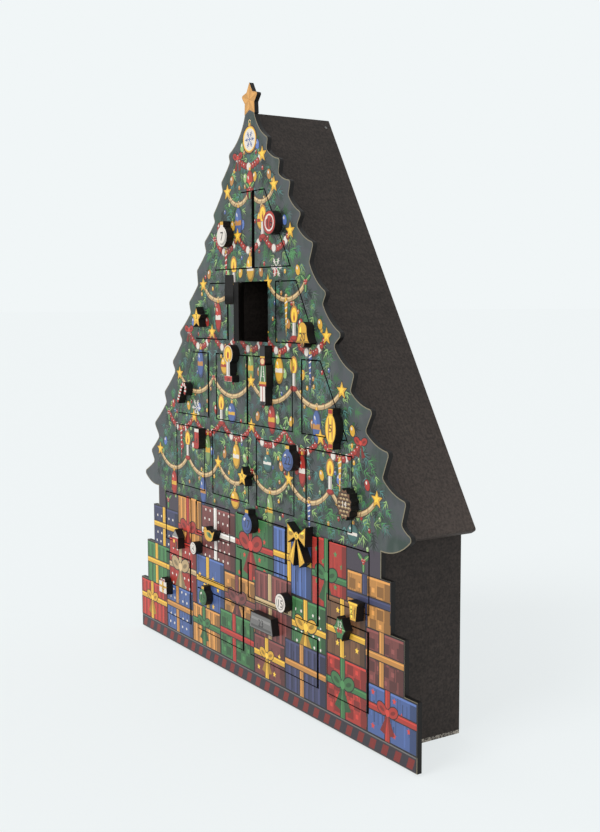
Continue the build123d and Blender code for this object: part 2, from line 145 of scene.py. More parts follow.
# Materials
def new_material(name, roughness, specular=0.5):
    """A material with its node tree, its shader and its Object coordinates."""
    material = bpy.data.materials.new(name)
    material.use_nodes = True
    tree = material.node_tree
    shader = tree.nodes["Principled BSDF"]
    shader.inputs["Roughness"].default_value = roughness
    shader.inputs["Specular IOR Level"].default_value = specular
    where = tree.nodes.new("ShaderNodeTexCoord").outputs["Object"]
    return material, tree, shader, where


def noise(tree, where, scale, detail, stretch=None):
    """A noise over the surface, with its features drawn out along an axis where stretch says so."""
    if stretch:
        mapping = tree.nodes.new("ShaderNodeMapping")
        mapping.inputs["Scale"].default_value = stretch
        tree.links.new(where, mapping.inputs["Vector"])
        where = mapping.outputs["Vector"]
    node = tree.nodes.new("ShaderNodeTexNoise")
    node.inputs["Scale"].default_value = scale
    node.inputs["Detail"].default_value = detail
    tree.links.new(where, node.inputs["Vector"])
    return node.outputs["Fac"]


def ramp(tree, value, *stops):
    """Colours between stops, each a place from 0 to 1 and a colour."""
    node = tree.nodes.new("ShaderNodeValToRGB")
    bands = node.color_ramp.elements
    while len(bands) < len(stops):
        bands.new(0.5)
    for band, (place, tint) in zip(bands, stops):
        band.position = place
        band.color = tint
    tree.links.new(value, node.inputs["Fac"])
    return node.outputs["Color"]


def mix(tree, share, first, second, mode="MIX"):
    node = tree.nodes.new("ShaderNodeMix")
    node.data_type = "RGBA"
    node.blend_type = mode
    for source, socket in ((share, node.inputs[0]), (first, node.inputs[6]), (second, node.inputs[7])):
        if isinstance(source, bpy.types.NodeSocket):
            tree.links.new(source, socket)
        else:
            socket.default_value = source
    return node.outputs[2]


def bump(tree, shader, relief, strength, depth):
    node = tree.nodes.new("ShaderNodeBump")
    node.inputs["Strength"].default_value = strength
    node.inputs["Distance"].default_value = depth
    tree.links.new(relief, node.inputs["Height"])
    tree.links.new(node.outputs["Normal"], shader.inputs["Normal"])


def below(tree, where, eave):
    """Mask of the painted sheen on the roof: one at the eave's height and below it, and less and less above it."""
    height = tree.nodes.new("ShaderNodeSeparateXYZ")
    tree.links.new(where, height.inputs["Vector"])
    fade = tree.nodes.new("ShaderNodeMapRange")
    for socket, value in (("From Min", eave), ("From Max", eave * 1.8), ("To Min", 1.0), ("To Max", 0.0)):
        fade.inputs[socket].default_value = value
    tree.links.new(height.outputs["Z"], fade.inputs["Value"])
    return fade.outputs["Result"]


def stained_board(name, eave=0.0):
    """Dark stained board: faint grain, fine pores and dusty patches, and, given an eave, a painted sheen that
    makes it paler below the eave's height.
    """
    material, tree, shader, where = new_material(name, roughness=0.6, specular=0.2)
    grain = noise(tree, where, scale=40.0, detail=6.0, stretch=(1.0, 1.0, 7.0))
    dust = noise(tree, where, scale=9.0, detail=3.0)
    pores = noise(tree, where, scale=520.0, detail=3.0)
    tint = ramp(tree, grain, (0.3, shade("cabinet", 0.8)), (0.7, shade("cabinet", 1.15)))
    patch = ramp(tree, dust, (0.45, neutral(0.0)), (0.8, neutral(0.3)))
    tint = mix(tree, patch, tint, shade("cabinet", 1.6))
    if eave:
        # Painted sheen: the roof's colour made lighter at the eave and under it, fading out above
        tint = mix(tree, below(tree, where, eave), tint, shade("cabinet", 1.9))
    speck = ramp(tree, pores, (0.35, neutral(0.66)), (0.62, (1.18, 1.16, 1.14, 1.0)))
    tree.links.new(mix(tree, 1.0, tint, speck, "MULTIPLY"), shader.inputs["Base Color"])
    bump(tree, shader, pores, strength=0.18, depth=0.0004)
    return material


def black_edge():
    """Black paint on sawn edges, with the saw's fine ridges."""
    material, tree, shader, where = new_material("black_edge", roughness=0.5, specular=0.25)
    streak = noise(tree, where, scale=60.0, detail=5.0, stretch=(1.0, 9.0, 1.0))
    tint = ramp(tree, streak, (0.3, shade("edge", 0.7)), (0.75, shade("edge", 1.5)))
    tree.links.new(tint, shader.inputs["Base Color"])
    bump(tree, shader, streak, strength=0.25, depth=0.0003)
    return material


def bare_fibre():
    """Sawn fibreboard at the base, speckled where the stain has rubbed off."""
    material, tree, shader, where = new_material("bare_fibre", roughness=0.85)
    speckle = noise(tree, where, scale=800.0, detail=3.0)
    patch = noise(tree, where, scale=30.0, detail=3.0)
    rubbed = ramp(tree, speckle, (0.42, shade("cabinet", 0.8)), (0.54, shade("fibre")))
    stain = ramp(tree, patch, (0.3, neutral(0.0)), (0.6, neutral(0.5)))
    tree.links.new(mix(tree, stain, rubbed, shade("cabinet", 1.3)), shader.inputs["Base Color"])
    bump(tree, shader, speckle, strength=0.4, depth=0.0004)
    return material


def printed_ground():
    """Ground of the print: slate, fir green and moss in loose brushed patches."""
    material, tree, shader, where = new_material("printed_ground", roughness=0.48)
    patches = noise(tree, where, scale=34.0, detail=5.0)
    brush = noise(tree, where, scale=120.0, detail=4.0, stretch=(1.0, 1.0, 0.35))
    tint = ramp(tree, patches, (0.34, shade("fir", 0.72)), (0.5, shade("slate")), (0.66, shade("fir", 1.15)))
    light = ramp(tree, brush, (0.5, neutral(0.0)), (0.78, neutral(0.75)))
    tree.links.new(mix(tree, light, tint, shade("moss")), shader.inputs["Base Color"])
    bump(tree, shader, brush, strength=0.12, depth=0.0003)
    return material


def steel():
    """Drawn steel wire and nails."""
    material, tree, shader, where = new_material("steel", roughness=0.38)
    drawn = noise(tree, where, scale=500.0, detail=3.0, stretch=(1.0, 1.0, 0.1))
    tint = ramp(tree, drawn, (0.3, shade("steel", 0.7)), (0.7, shade("steel", 1.1)))
    tree.links.new(tint, shader.inputs["Base Color"])
    shader.inputs["Metallic"].default_value = 1.0
    bump(tree, shader, drawn, strength=0.1, depth=0.0002)
    return material


TONES = {"light": 1.6, "pale": 2.2, "soft": 1.25, "low": 0.72, "dark": 0.5, "deep": 0.25}


def paint(name):
    """A brushed paint: a colour's name, or a colour and a tone such as red_dark."""
    label = f"paint_{name}"
    if label in bpy.data.materials:
        return bpy.data.materials[label]
    hue, _, tone = name.partition("_")
    material, tree, shader, where = new_material(label, roughness=0.46)
    shader.inputs["Base Color"].default_value = shade(hue, TONES.get(tone, 1.0))
    bump(tree, shader, noise(tree, where, scale=700.0, detail=3.0), strength=0.12, depth=0.0003)
    return material


# The doors' places on the front
# A door's upright side this close to its pivot is its hinge edge
HINGE_NEAR = 5 * MM
# Sine of the least turn that makes a corner
LEAST_TURN = 0.02


class Door:
    """A door's outline on the closed front, and its turn from closed to rest."""

    def __init__(self, joint):
        self.body = joint["child"]
        pivot = Vector(joint["pos_m"])
        turn = Matrix.Rotation(radians(joint["range_deg"][0]), 4, Vector(joint["axis"]))
        self.close = Matrix.Translation(pivot) @ turn @ Matrix.Translation(-pivot)
        self.rest = self.close.inverted()
        points = [self.close @ v.co for v in frame["nodes"][self.body].data.vertices]
        self.front = min(p.y for p in points)
        self.outline = hull([Vector((p.x, p.z)) for p in points])
        self.hinge = pivot.x

    def opening(self):
        """The outline of the hole that the door fills, grown by the gaps round the door."""
        gaps = []
        for start, end in sides_of(self.outline):
            upright = abs(end.x - start.x) < MM
            near = abs(start.x - self.hinge) < HINGE_NEAR
            gaps.append(sizes().hinge_gap if upright and near else sizes().free_gap)
        return grown(self.outline, gaps)


def hull(points):
    """Corners of the points' convex outline, anticlockwise, without those in line with their neighbours."""
    spots = [Vector(spot) for spot in sorted({(round(p.x, 6), round(p.y, 6)) for p in points})]
    loop = [spots[i] for i in convex_hull_2d(spots)]
    if sum(a.cross(b) for a, b in sides_of(loop)) < 0:
        loop.reverse()
    corners = []
    for i, point in enumerate(loop):
        before, after = point - loop[i - 1], loop[(i + 1) % len(loop)] - point
        if before.normalized().cross(after.normalized()) > LEAST_TURN:
            corners.append(point)
    return corners


def sides_of(loop):
    return [(loop[i], loop[(i + 1) % len(loop)]) for i in range(len(loop))]


def grown(loop, gaps):
    """A convex outline with each side moved out by its own gap."""
    lines = []
    for (start, end), gap in zip(sides_of(loop), gaps):
        along = (end - start).normalized()
        out = Vector((along.y, -along.x)) * gap
        lines.append((start + out, end + out))
    return [line_meeting(lines[i - 1], line) for i, line in enumerate(lines)]


def line_meeting(first, second):
    run = first[1] - first[0]
    other = second[1] - second[0]
    share = (second[0] - first[0]).cross(other) / run.cross(other)
    return first[0] + run * share


def within(loop, x, z):
    point = Vector((x, z))
    return all((end - start).cross(point - start) >= 0 for start, end in sides_of(loop))


DOORS = [Door(joint) for joint in frame["joints"]]
BOARD = "front_board"
BOARD_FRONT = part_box(BOARD)[0].y
BOARD_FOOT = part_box(BOARD)[0].z
# The tree on the board, in millimetres from the middle of the board's foot
TREE_FOOT = 150
TREE_TOP = 482
TREE_REACH = 218
# The wooden star: height of its middle, reach of its points, and as shares of that the reach of its painted
# highlights (one lit half to each point) and its waist
STAR_HEIGHT = 496
STAR_REACH = 14
STAR_HIGHLIGHT = 0.88
STAR_WAIST = 0.571
# Metres in front of the board from which a point on it is looked for
AHEAD = 1.0


def on_front(x, z):
    """Whether a point, in millimetres from the middle of the board's foot, lies on the board or a door."""
    across, up = x * MM, BOARD_FOOT + z * MM
    start = Vector((across, BOARD_FRONT - AHEAD, up))
    hit = frame["nodes"][BOARD].ray_cast(start, Vector((0, 1, 0)), distance=AHEAD + MM)[0]
    return hit or any(within(door.outline, across, up) for door in DOORS)


def well_inside(x, z, margin):
    """Whether six points round a point, a margin away, are all on the front."""
    turns = [a * pi / 3 for a in range(6)]
    return all(on_front(x + margin * cos(turn), z + margin * sin(turn)) for turn in turns)


# Flat drawings, cut along the doors and laid on the front
# Depths within a layer that its marks take in turn
SUB_LAYERS = 13
# Metres within which a corner lies on a cut, two corners are one, and a face lies at the front
ON_CUT = 1e-7
SAME_SPOT = 1e-6
AT_FRONT = 1e-5
# Radians between faces that count as one plane
SAME_PLANE = 0.01


class Art:
    """A flat drawing in millimetres, X across and Z up from the foot. Each face has a paint and a layer."""

    def __init__(self):
        self.bm = bmesh.new()
        self.bm.faces.layers.int.new("layer")
        self.paints = []
        self.marks = 0

    def tint(self, faces, name, layer):
        """Paints the faces of one mark, at a depth that the marks next to it on its layer don't have."""
        if name not in self.paints:
            self.paints.append(name)
        self.marks += 1
        layers = self.bm.faces.layers.int["layer"]
        for face in faces:
            face.material_index = self.paints.index(name)
            face[layers] = SUB_LAYERS * layer + self.marks % SUB_LAYERS

    def tint_round(self, verts, name, layer):
        self.tint({face for vert in verts for face in vert.link_faces}, name, layer)

    def oval(self, x, z, wide, high, name, layer, turn=0.0, count=14):
        spot = placed(x, z, turn, wide, high)
        made = bmesh.ops.create_circle(self.bm, cap_ends=True, segments=count, radius=0.5, matrix=spot)
        self.tint_round(made["verts"], name, layer)

    def panel(self, points, name, layer):
        verts = [self.bm.verts.new((x, 0, z)) for x, z in points]
        self.tint([self.bm.faces.new(verts)], name, layer)

    def block(self, x, z, wide, high, name, layer, turn=0.0):
        corners = [(u * wide / 2, 0, v * high / 2) for u, v in ((-1, -1), (1, -1), (1, 1), (-1, 1))]
        spot = Matrix.Translation((x, 0, z)) @ Matrix.Rotation(-radians(turn), 4, "Y")
        places = [spot @ Vector(corner) for corner in corners]
        self.panel([(place.x, place.z) for place in places], name, layer)

    def star(self, x, z, size, name, layer, turn=0.0, waist=0.45):
        """A five-pointed star: a circle of ten corners with every other one drawn in."""
        spot = placed(x, z, turn, size, size)
        made = bmesh.ops.create_circle(
            self.bm, cap_ends=True, cap_tris=True, segments=10, radius=0.5, matrix=spot
        )
        middle = Vector((x, 0, z))
        rim = [v for v in made["verts"] if (v.co - middle).length > size / 4]
        for vert in rim[1::2]:
            vert.co = middle + (vert.co - middle) * waist
        self.tint_round(made["verts"], name, layer)

    def band(self, x, z, radius, wide, start, sweep, name, layer, steps=12):
        """Part of a ring, from a start angle, anticlockwise from the right."""
        way = Vector((cos(radians(start)), 0, sin(radians(start))))
        middle = Vector((x, 0, z))
        verts = [self.bm.verts.new(middle + way * (radius + side * wide / 2)) for side in (-1, 1)]
        edge = self.bm.edges.new(verts)
        bmesh.ops.spin(
            self.bm, geom=verts + [edge], cent=middle, axis=(0, -1, 0), angle=radians(sweep), steps=steps
        )
        strip = set(verts)
        for _ in range(steps):
            strip |= {other for vert in strip for edge in vert.link_edges for other in edge.verts}
        self.tint_round(strip, name, layer)

    def stamp(self, mesh, spot, name, layer):
        """Adds a flat mesh at a place."""
        verts = [self.bm.verts.new(spot @ v.co) for v in mesh.vertices]
        self.tint([self.bm.faces.new([verts[i] for i in p.vertices]) for p in mesh.polygons], name, layer)


def placed(x, z, turn, wide, high):
    """Takes a unit shape from the ground plane to a place on the front."""
    stretch = Matrix.Diagonal((wide, 1.0, high, 1.0))
    upright = Matrix.Rotation(radians(90), 4, "X")
    return Matrix.Translation((x, 0, z)) @ Matrix.Rotation(-radians(turn), 4, "Y") @ stretch @ upright


class Motif:
    """Marks about a point of a drawing, from a layer up, in units of the motif's width and height."""

    PAIRS = {"ovals": "oval", "blocks": "block"}

    def __init__(self, art, x, z, layer, wide=1.0, high=1.0, tone=""):
        self.art, self.x, self.z, self.layer = art, x, z, layer
        self.wide, self.high, self.tone = wide, high, tone

    def draw(self, *marks):
        """Draws marks: shape, place across and up, width, height, paint, step up from the layer, and perhaps
        a turn and an oval's count of corners. A plural is drawn on both sides, mirrored."""
        for shape, *rest in marks:
            for side in (-1, 1) if shape in self.PAIRS else (1,):
                self.mark(self.PAIRS.get(shape, shape), side, *rest)

    def mark(self, shape, side, across, up, wide, high, name, step, turn=0, count=14):
        """Draws one mark. A paint that is empty or starts with _ is the motif's own colour or a tone of it,
        and a round has its height in the motif's widths."""
        x, z = self.x + side * across * self.wide, self.z + up * self.high
        layer = self.layer + step
        if not name or name.startswith("_"):
            name = self.tone + name
        if shape == "block":
            self.art.block(x, z, wide * self.wide, high * self.high, name, layer, side * turn)
        elif shape == "star":
            self.art.star(x, z, high * self.high, name, layer, turn)
        else:
            tall = high * (self.wide if shape == "round" else self.high)
            self.art.oval(x, z, wide * self.wide, tall, name, layer, side * turn, count)

    def panel(self, points, name, step):
        places = [(self.x + across * self.wide, self.z + up * self.high) for across, up in points]
        self.art.panel(places, name, self.layer + step)


def overlapping(bm, loop):
    """Faces whose box meets an outline's box."""
    low = Vector((min(p.x for p in loop), min(p.y for p in loop)))
    high = Vector((max(p.x for p in loop), max(p.y for p in loop)))
    found = []
    for face in bm.faces:
        xs = [v.co.x for v in face.verts]
        zs = [v.co.z for v in face.verts]
        if max(xs) > low.x and min(xs) < high.x and max(zs) > low.y and min(zs) < high.y:
            found.append(face)
    return found


def cut_line(bm, faces, start, end, clear):
    """Cuts faces along an outline's side and, where clear is true, drops what lies outside it."""
    parts = {item for face in faces for item in (*face.verts, *face.edges)} | set(faces)
    made = bmesh.ops.bisect_plane(
        bm,
        geom=list(parts),
        dist=ON_CUT,
        plane_co=(start.x, 0, start.y),
        plane_no=(start.y - end.y, 0, end.x - start.x),
        clear_inner=clear,
    )
    return [item for item in made["geom"] if isinstance(item, bmesh.types.BMFace)]


def cut_inside(bm, loop):
    """A copy of the drawing with only what lies inside an outline."""
    inside = bm.copy()
    near = set(overlapping(inside, loop))
    bmesh.ops.delete(inside, geom=[f for f in inside.faces if f not in near], context="FACES")
    for start, end in sides_of(loop):
        cut_line(inside, inside.faces[:], start, end, True)
    return inside


def cut_outside(bm, loop):
    """Takes what lies inside an outline out of the drawing."""
    faces = overlapping(bm, loop)
    for start, end in sides_of(loop):
        faces = cut_line(bm, faces, start, end, False)
    inner = []
    for face in faces:
        middle = face.calc_center_median()
        if within(loop, middle.x, middle.z):
            inner.append(face)
    bmesh.ops.delete(bm, geom=inner, context="FACES")


def raise_layers(bm, depth):
    """Gives each flat face a thickness that grows with its layer, as a closed plate."""
    made = bmesh.ops.extrude_face_region(bm, geom=bm.faces[:], use_keep_orig=True)
    layers = bm.faces.layers.int["layer"]
    for face in made["geom"]:
        if isinstance(face, bmesh.types.BMFace):
            for vert in face.verts:
                vert.co.y = -depth - face[layers] * sizes().layer / SUB_LAYERS
    bmesh.ops.recalc_face_normals(bm, faces=bm.faces)


def add_piece(name, bm, materials, body):
    """An object at the origin from a finished bmesh, which rides on a body."""
    mesh = bpy.data.meshes.new(name)
    bm.to_mesh(mesh)
    bm.free()
    for material in materials:
        mesh.materials.append(material)
    piece = bpy.data.objects.new(name, mesh)
    bpy.context.scene.collection.objects.link(piece)
    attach(piece, body)
    return piece


def lay_plate(name, bm, paints, front, turn, body):
    """Makes a flat drawing a thin piece on a front surface."""
    raise_layers(bm, sizes().film / 2)
    bm.transform(turn @ Matrix.Translation((0, front - sizes().film / 2, 0)))
    add_piece(name, bm, [paint(p) for p in paints], body)


def lay(art, label):
    """Cuts a drawing along the doors and lays it on the board and on each door that it crosses."""
    art.bm.transform(Matrix.Translation((0, 0, BOARD_FOOT)) @ Matrix.Scale(MM, 4))
    for door in DOORS:
        inside = cut_inside(art.bm, door.outline)
        if inside.faces:
            lay_plate(f"{door.body}_{label}", inside, art.paints, door.front, door.rest, door.body)
    for door in DOORS:
        cut_outside(art.bm, door.opening())
    lay_plate(f"board_{label}", art.bm, art.paints, BOARD_FRONT, Matrix.Identity(4), "cabinet")


def front_faces(node, turn):
    """A merged copy of a node's front faces, flattened, with the depth that they lie at."""
    bm = bmesh.new()
    bm.from_mesh(frame["nodes"][node].data)
    bm.transform(turn)
    bmesh.ops.remove_doubles(bm, verts=bm.verts, dist=SAME_SPOT)
    front = min(v.co.y for v in bm.verts)
    away = [f for f in bm.faces if max(v.co.y for v in f.verts) > front + AT_FRONT]
    bmesh.ops.delete(bm, geom=away, context="FACES")
    bmesh.ops.translate(bm, verts=bm.verts, vec=(0, -front, 0))
    bmesh.ops.dissolve_limit(bm, angle_limit=SAME_PLANE, verts=bm.verts, edges=bm.edges)
    return bm, front


def inset_ring(bm, width):
    """Draws a line inside the edges of a flat sheet, and gives the faces between the two."""
    made = bmesh.ops.inset_region(
        bm, faces=bm.faces[:], thickness=width, use_boundary=True, use_even_offset=True
    )
    return made["faces"]


# Cabinet and hardware
def dress(material, *nodes):
    """Gives nodes of the frame their finish."""
    for node in nodes:
        slots = frame["nodes"][node].data.materials
        slots.clear()
        slots.append(material)


class CALENDAR_OT_cabinet(bpy.types.Operator):
    """Stain the cabinet boards and show the sawn fibreboard edge of the base"""

    bl_idname = "calendar.cabinet"
    bl_label = "Stain the cabinet"

    def execute(self, context):
        board = stained_board("stained_board")
        dress(board, "right_wall", "left_wall", "back_panel", "shelves", "dividers")
        # The roofs' stain carries a painted sheen that lightens it towards the eave
        roof = stained_board("stained_roof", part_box("right_roof")[0].z)
        dress(roof, "right_roof", "left_roof")
        dress(bare_fibre(), "base")
        dress(steel(), "hinge_pins", "ridge_nail")
        return {"FINISHED"}


class CALENDAR_OT_edges(bpy.types.Operator):
    """Paint the edges of the board, the doors and the knobs black"""

    bl_idname = "calendar.edges"
    bl_label = "Paint the edges"

    def execute(self, context):
        fronts = [n for n in frame["nodes"] if n == BOARD or n.startswith(("door_", "knob_"))]
        dress(black_edge(), *fronts)
        return {"FINISHED"}


# Printed ground
class CALENDAR_OT_ground(bpy.types.Operator):
    """Lay the printed ground on the board and the doors, with a pale line along the board's edge: raw fibreboard
    together with a painted highlight on its rounded edge
    """

    bl_idname = "calendar.ground"
    bl_label = "Lay the ground"

    def execute(self, context):
        ground = printed_ground()
        bm, front = front_faces(BOARD, Matrix.Identity(4))
        near = 2 * sizes().rim
        openings = [door.opening() for door in DOORS]
        wide = [grown(loop, [near] * len(loop)) for loop in openings]
        # The ring inside the board's outer edge gets the pale line: raw fibreboard plus a painted highlight on the
        # rounded edge
        for face in inset_ring(bm, sizes().rim):
            middle = face.calc_center_median()
            if not any(within(loop, middle.x, middle.z) for loop in wide):
                face.material_index = 1
        self.star(bm)
        finishes = [ground, paint("bare"), paint("honey")]
        self.film("board_ground", bm, front, Matrix.Identity(4), "cabinet", finishes)
        for door in DOORS:
            sheet = bmesh.new()
            sheet.faces.new([sheet.verts.new((p.x, 0, p.y)) for p in door.outline])
            self.film(f"{door.body}_ground", sheet, door.front, door.rest, door.body, [ground])
        return {"FINISHED"}

    def star(self, bm):
        """Parts the star from the tree along its two lower sides and gives it the colour of its wood."""
        middle, reach = BOARD_FOOT + STAR_HEIGHT * MM, STAR_REACH * MM
        notch = Vector((0, middle - reach * STAR_WAIST))
        tip = Vector((reach * sin(pi / 5), middle - reach * cos(pi / 5)))
        slope = (notch.y - tip.y) / tip.x
        for out in (-1, 1):
            near = [f for f in bm.faces if max(v.co.z for v in f.verts) > tip.y]
            cut_line(bm, near, Vector((out * tip.x, tip.y)), notch, False)
        for face in bm.faces:
            middle = face.calc_center_median()
            if middle.z > max(tip.y, notch.y - slope * abs(middle.x)):
                face.material_index = 2

    def film(self, name, bm, front, turn, body, materials):
        made = bmesh.ops.extrude_face_region(bm, geom=bm.faces[:], use_keep_orig=True)
        moved = [item for item in made["geom"] if isinstance(item, bmesh.types.BMVert)]
        bmesh.ops.translate(bm, verts=moved, vec=(0, -sizes().film, 0))
        bmesh.ops.recalc_face_normals(bm, faces=bm.faces)
        bm.transform(turn @ Matrix.Translation((0, front, 0)))
        add_piece(name, bm, materials, body)


# Twigs and lights
# Of a twig one unit long: its stem, its needles' two lengths by turns, and half a needle's width
STEM = 0.3
NEEDLE_LENGTHS = (0.52, 0.7)
NEEDLE_HALF = 0.062
# Needles of a twig's shaded and lit parts, and the degrees that they fan out
SHADED_FAN = (7, 150)
LIT_FAN = (4, 90)
# Degrees that a twig leans out at the tree's edge, and that it may turn from there
TWIG_LEAN = 24
TWIG_TURN = 75
# Shares of the twigs that have a lit part, and a light
LIT_SHARE = 0.45
LIGHT_SHARE = 0.085
SHADED_LAYERS = 3
LIT_LAYER = 4
SHADED_NEEDLES = ("green", "fir_low", "teal", "fir_deep", "green_dark", "fir_dark", "green_low", "fir_deep")
LIT_NEEDLES = ("leaf", "green_light", "teal_soft", "teal_light", "leaf_light", "green_soft", "moss_soft")
LIGHT_TONES = ("gold", "red", "leaf_light", "blue", "ochre", "gold_low", "red_low", "leaf")


def twig(needles, fan):
    """Corners of needles that fan out by so many degrees and down from a short stem, one unit long."""
    corners = []
    for needle in range(needles):
        spread = needle / (needles - 1) - 0.5
        lean = radians(fan * spread)
        root = Vector((0, 0, -STEM * (1 - 2 * abs(spread))))
        tip = root + Vector((sin(lean), 0, -cos(lean))) * NEEDLE_LENGTHS[needle % 2]
        across = Vector((cos(lean), 0, sin(lean))) * NEEDLE_HALF
        corners.append((root - across, tip, root + across))
    return corners


def draw_twig(art, needles, spot, tone, layer):
    for corners in needles:
        places = [spot @ corner for corner in corners]
        art.panel([(place.x, place.z) for place in places], tone, layer)


class CALENDAR_OT_twigs(bpy.types.Operator):
    """Scatter fir twigs and small lights over the tree"""

    bl_idname = "calendar.twigs"
    bl_label = "Scatter the twigs"

    def execute(self, context):
        draw = random.Random(sizes().seed)
        art = Art()
        shaded, lit = twig(*SHADED_FAN), twig(*LIT_FAN)
        spacing, reach, margin = (s / MM for s in (sizes().twig_spacing, sizes().twig, sizes().margin))
        for row in range(int((TREE_TOP - TREE_FOOT) / spacing)):
            for column in range(int(2 * TREE_REACH / spacing)):
                x = -TREE_REACH + spacing * (column + 0.5 * (row % 2) + draw.uniform(-0.4, 0.4))
                z = TREE_FOOT + spacing * (row + draw.uniform(0.2, 1.0))
                turn = TWIG_LEAN * x / TREE_REACH + draw.uniform(-TWIG_TURN, TWIG_TURN)
                size = reach * draw.uniform(0.75, 1.2)
                tone, tip = draw.choice(SHADED_NEEDLES), draw.choice(LIT_NEEDLES)
                glint, bulb = draw.random() < LIT_SHARE, draw.random() < LIGHT_SHARE
                light = draw.choice(LIGHT_TONES)
                if not well_inside(x, z - reach / 2, margin):
                    continue
                hang = placed(x, z, turn, size, size) @ Matrix.Rotation(-radians(90), 4, "X")
                draw_twig(art, shaded, hang, tone, 1 + (row + column) % SHADED_LAYERS)
                if glint:
                    draw_twig(art, lit, hang, tip, LIT_LAYER)
                if bulb:
                    Motif(art, x, z - reach / 2, LIT_LAYER).draw(
                        ("oval", 0, 0, 3.8, 4.6, "ink", 1, 0, 8),
                        ("oval", 0, 0, 3.2, 4.0, light, 2, 0, 8),
                        ("oval", -0.5, 0.7, 1.1, 1.2, "white", 3, 0, 6),
                    )
        lay(art, "twigs")
        return {"FINISHED"}


# Garlands and hung ornaments, in millimetres
BEAD_STEP = 3.9
RED_BEAD = 6.0
WHITE_BEAD = 7.6
WHITE_EVERY = 5
ROPE_TICKS = 7


def bead_string(art, left, right, z, sag, scallops, layer):
    """Red and white beads on a hanging thread, in equal scallops. Every other bead lies in front."""
    span = (right - left) / scallops
    beads = int(hypot(span, 2 * sag) / BEAD_STEP)
    for scallop in range(scallops):
        for bead in range(beads):
            share = bead / beads
            white = bead % WHITE_EVERY == 0
            size = WHITE_BEAD if white else RED_BEAD
            x, drop = left + span * (scallop + share), z - sag * 4 * share * (1 - share)
            Motif(art, x, drop, layer + 3 * (bead % 2), tone="white" if white else "red").draw(
                ("oval", 0, 0, size, size * 1.05, "_deep", 0, 0, 10),
                ("oval", -0.3, 0.3, size * 0.8, size * 0.84, "", 1, 0, 9),
                ("oval", -1.0, 1.1, 1.3, 1.1, "white", 2, 0, 6),
            )


def rope_swag(art, left, right, z, sag, scallops, layer):
    """A tan rope in equal scallops, each an arc with a lit strand along it."""
    span = (right - left) / scallops
    radius = (span * span / 4 + sag * sag) / (2 * sag)
    half = degrees(asin(span / (2 * radius)))
    start, sweep = 270 - half, 2 * half
    middle = z - sag + radius
    for scallop in range(scallops):
        x = left + span * (scallop + 0.5)
        art.band(x, middle, radius, 4.6, start, sweep, "brown_dark", layer)
        art.band(x, middle, radius, 3.6, start, sweep, "tan", layer + 1)
        art.band(x, middle, radius - 0.7, 1.3, start, sweep, "tan_light", layer + 2)
        for tick in range(ROPE_TICKS):
            angle = start + sweep * (tick + 0.5) / ROPE_TICKS
            across, up = radius * cos(radians(angle)), radius * sin(radians(angle))
            art.block(x + across, middle + up, 0.7, 4.0, "brown", layer + 3, angle + 60)


def cap_and_hook(art, x, z, layer):
    art.band(x, z + 3.4, 1.5, 0.7, 0, 330, "tan_light", layer, 10)
    art.block(x, z + 1.0, 3.6, 2.4, "ochre", layer)
    art.block(x - 0.6, z + 1.0, 1.0, 2.2, "gold_light", layer + 1)


def bauble(art, x, z, wide, high, tone, trim, layer):
    """A glass bauble: body, shaded side, a band, a lit side and a highlight."""
    art.oval(x, z, wide + 1.0, high + 1.0, "ink", layer, count=18)
    Motif(art, x, z, layer, wide, high, tone).draw(
        ("oval", 0, 0, 1, 1, "_dark", 1, 0, 18),
        ("oval", -0.06, 0.04, 0.84, 0.88, "", 2, 0, 18),
        ("block", -0.05, 0, 0.82, 0.16, trim, 3),
        ("oval", -0.2, 0.2, 0.3, 0.34, "_light", 3, 20, 12),
        ("oval", -0.22, 0.26, 0.13, 0.14, "white", 4, 20, 8),
    )
    cap_and_hook(art, x, z + high / 2, layer + 2)


def icicle(art, x, z, high, tone, layer):
    """A twisted glass drop that narrows to a point, with slanted bands."""
    top, bands = z + high / 2, 6
    art.panel([(x - 2.9, top), (x, z - high / 2 - 1), (x + 2.9, top)], "ink", layer)
    art.panel([(x - 2.3, top - 0.4), (x, z - high / 2), (x + 2.3, top - 0.4)], tone, layer + 1)
    for band in range(bands):
        share = (band + 0.5) / bands
        art.block(x, top - high * share * 0.86, 4.6 * (1 - share), 1.1, "white", layer + 2, 24)
    cap_and_hook(art, x, top - 0.6, layer + 1)


def lit_candle(art, x, z, layer):
    """A clip-on candle: flame and its glow, wax and cup."""
    Motif(art, x, z, layer).draw(
        ("oval", 0, 12, 10.5, 15, "ochre", 0, 0, 18),
        ("oval", 0, 11.5, 8.2, 12.4, "gold_light", 1, 0, 16),
        ("oval", 0, 10.5, 3.4, 8.0, "gold", 2, 0, 12),
        ("oval", 0, 9.5, 1.7, 4.6, "red", 3, 0, 10),
        ("block", 0, 0, 5.4, 12.0, "ink", 2),
        ("block", 0, 0, 4.6, 11.4, "white", 3),
        ("block", 1.2, 0, 1.6, 11.2, "white_dark", 4),
        ("oval", 0, -6.5, 10.0, 4.6, "red_dark", 4, 0, 12),
        ("oval", -0.6, -6.0, 7.8, 3.2, "red", 5, 0, 12),
    )


def gilt_star(art, x, z, size, layer):
    art.star(x, z, size + 1.4, "ink", layer)
    art.star(x, z, size, "gold", layer + 1)
    art.star(x - size * 0.03, z + size * 0.03, size * 0.55, "gold_light", layer + 2)


def snowflake(art, x, z, size, layer, tone="white"):
    """Three crossed arms with two barbs near each end."""
    for turn in (0, 60, 120):
        art.block(x, z, size, size * 0.05, tone, layer, turn)
        for side in (-1, 1):
            spot = side * size * 0.32
            across, up = spot * cos(radians(turn)), spot * sin(radians(turn))
            for lean in (-50, 50):
                art.block(x + across, z + up, size * 0.26, size * 0.04, tone, layer + 1, turn + lean)
    art.oval(x, z, 1.8, 1.8, "blue_light", layer + 2, count=8)


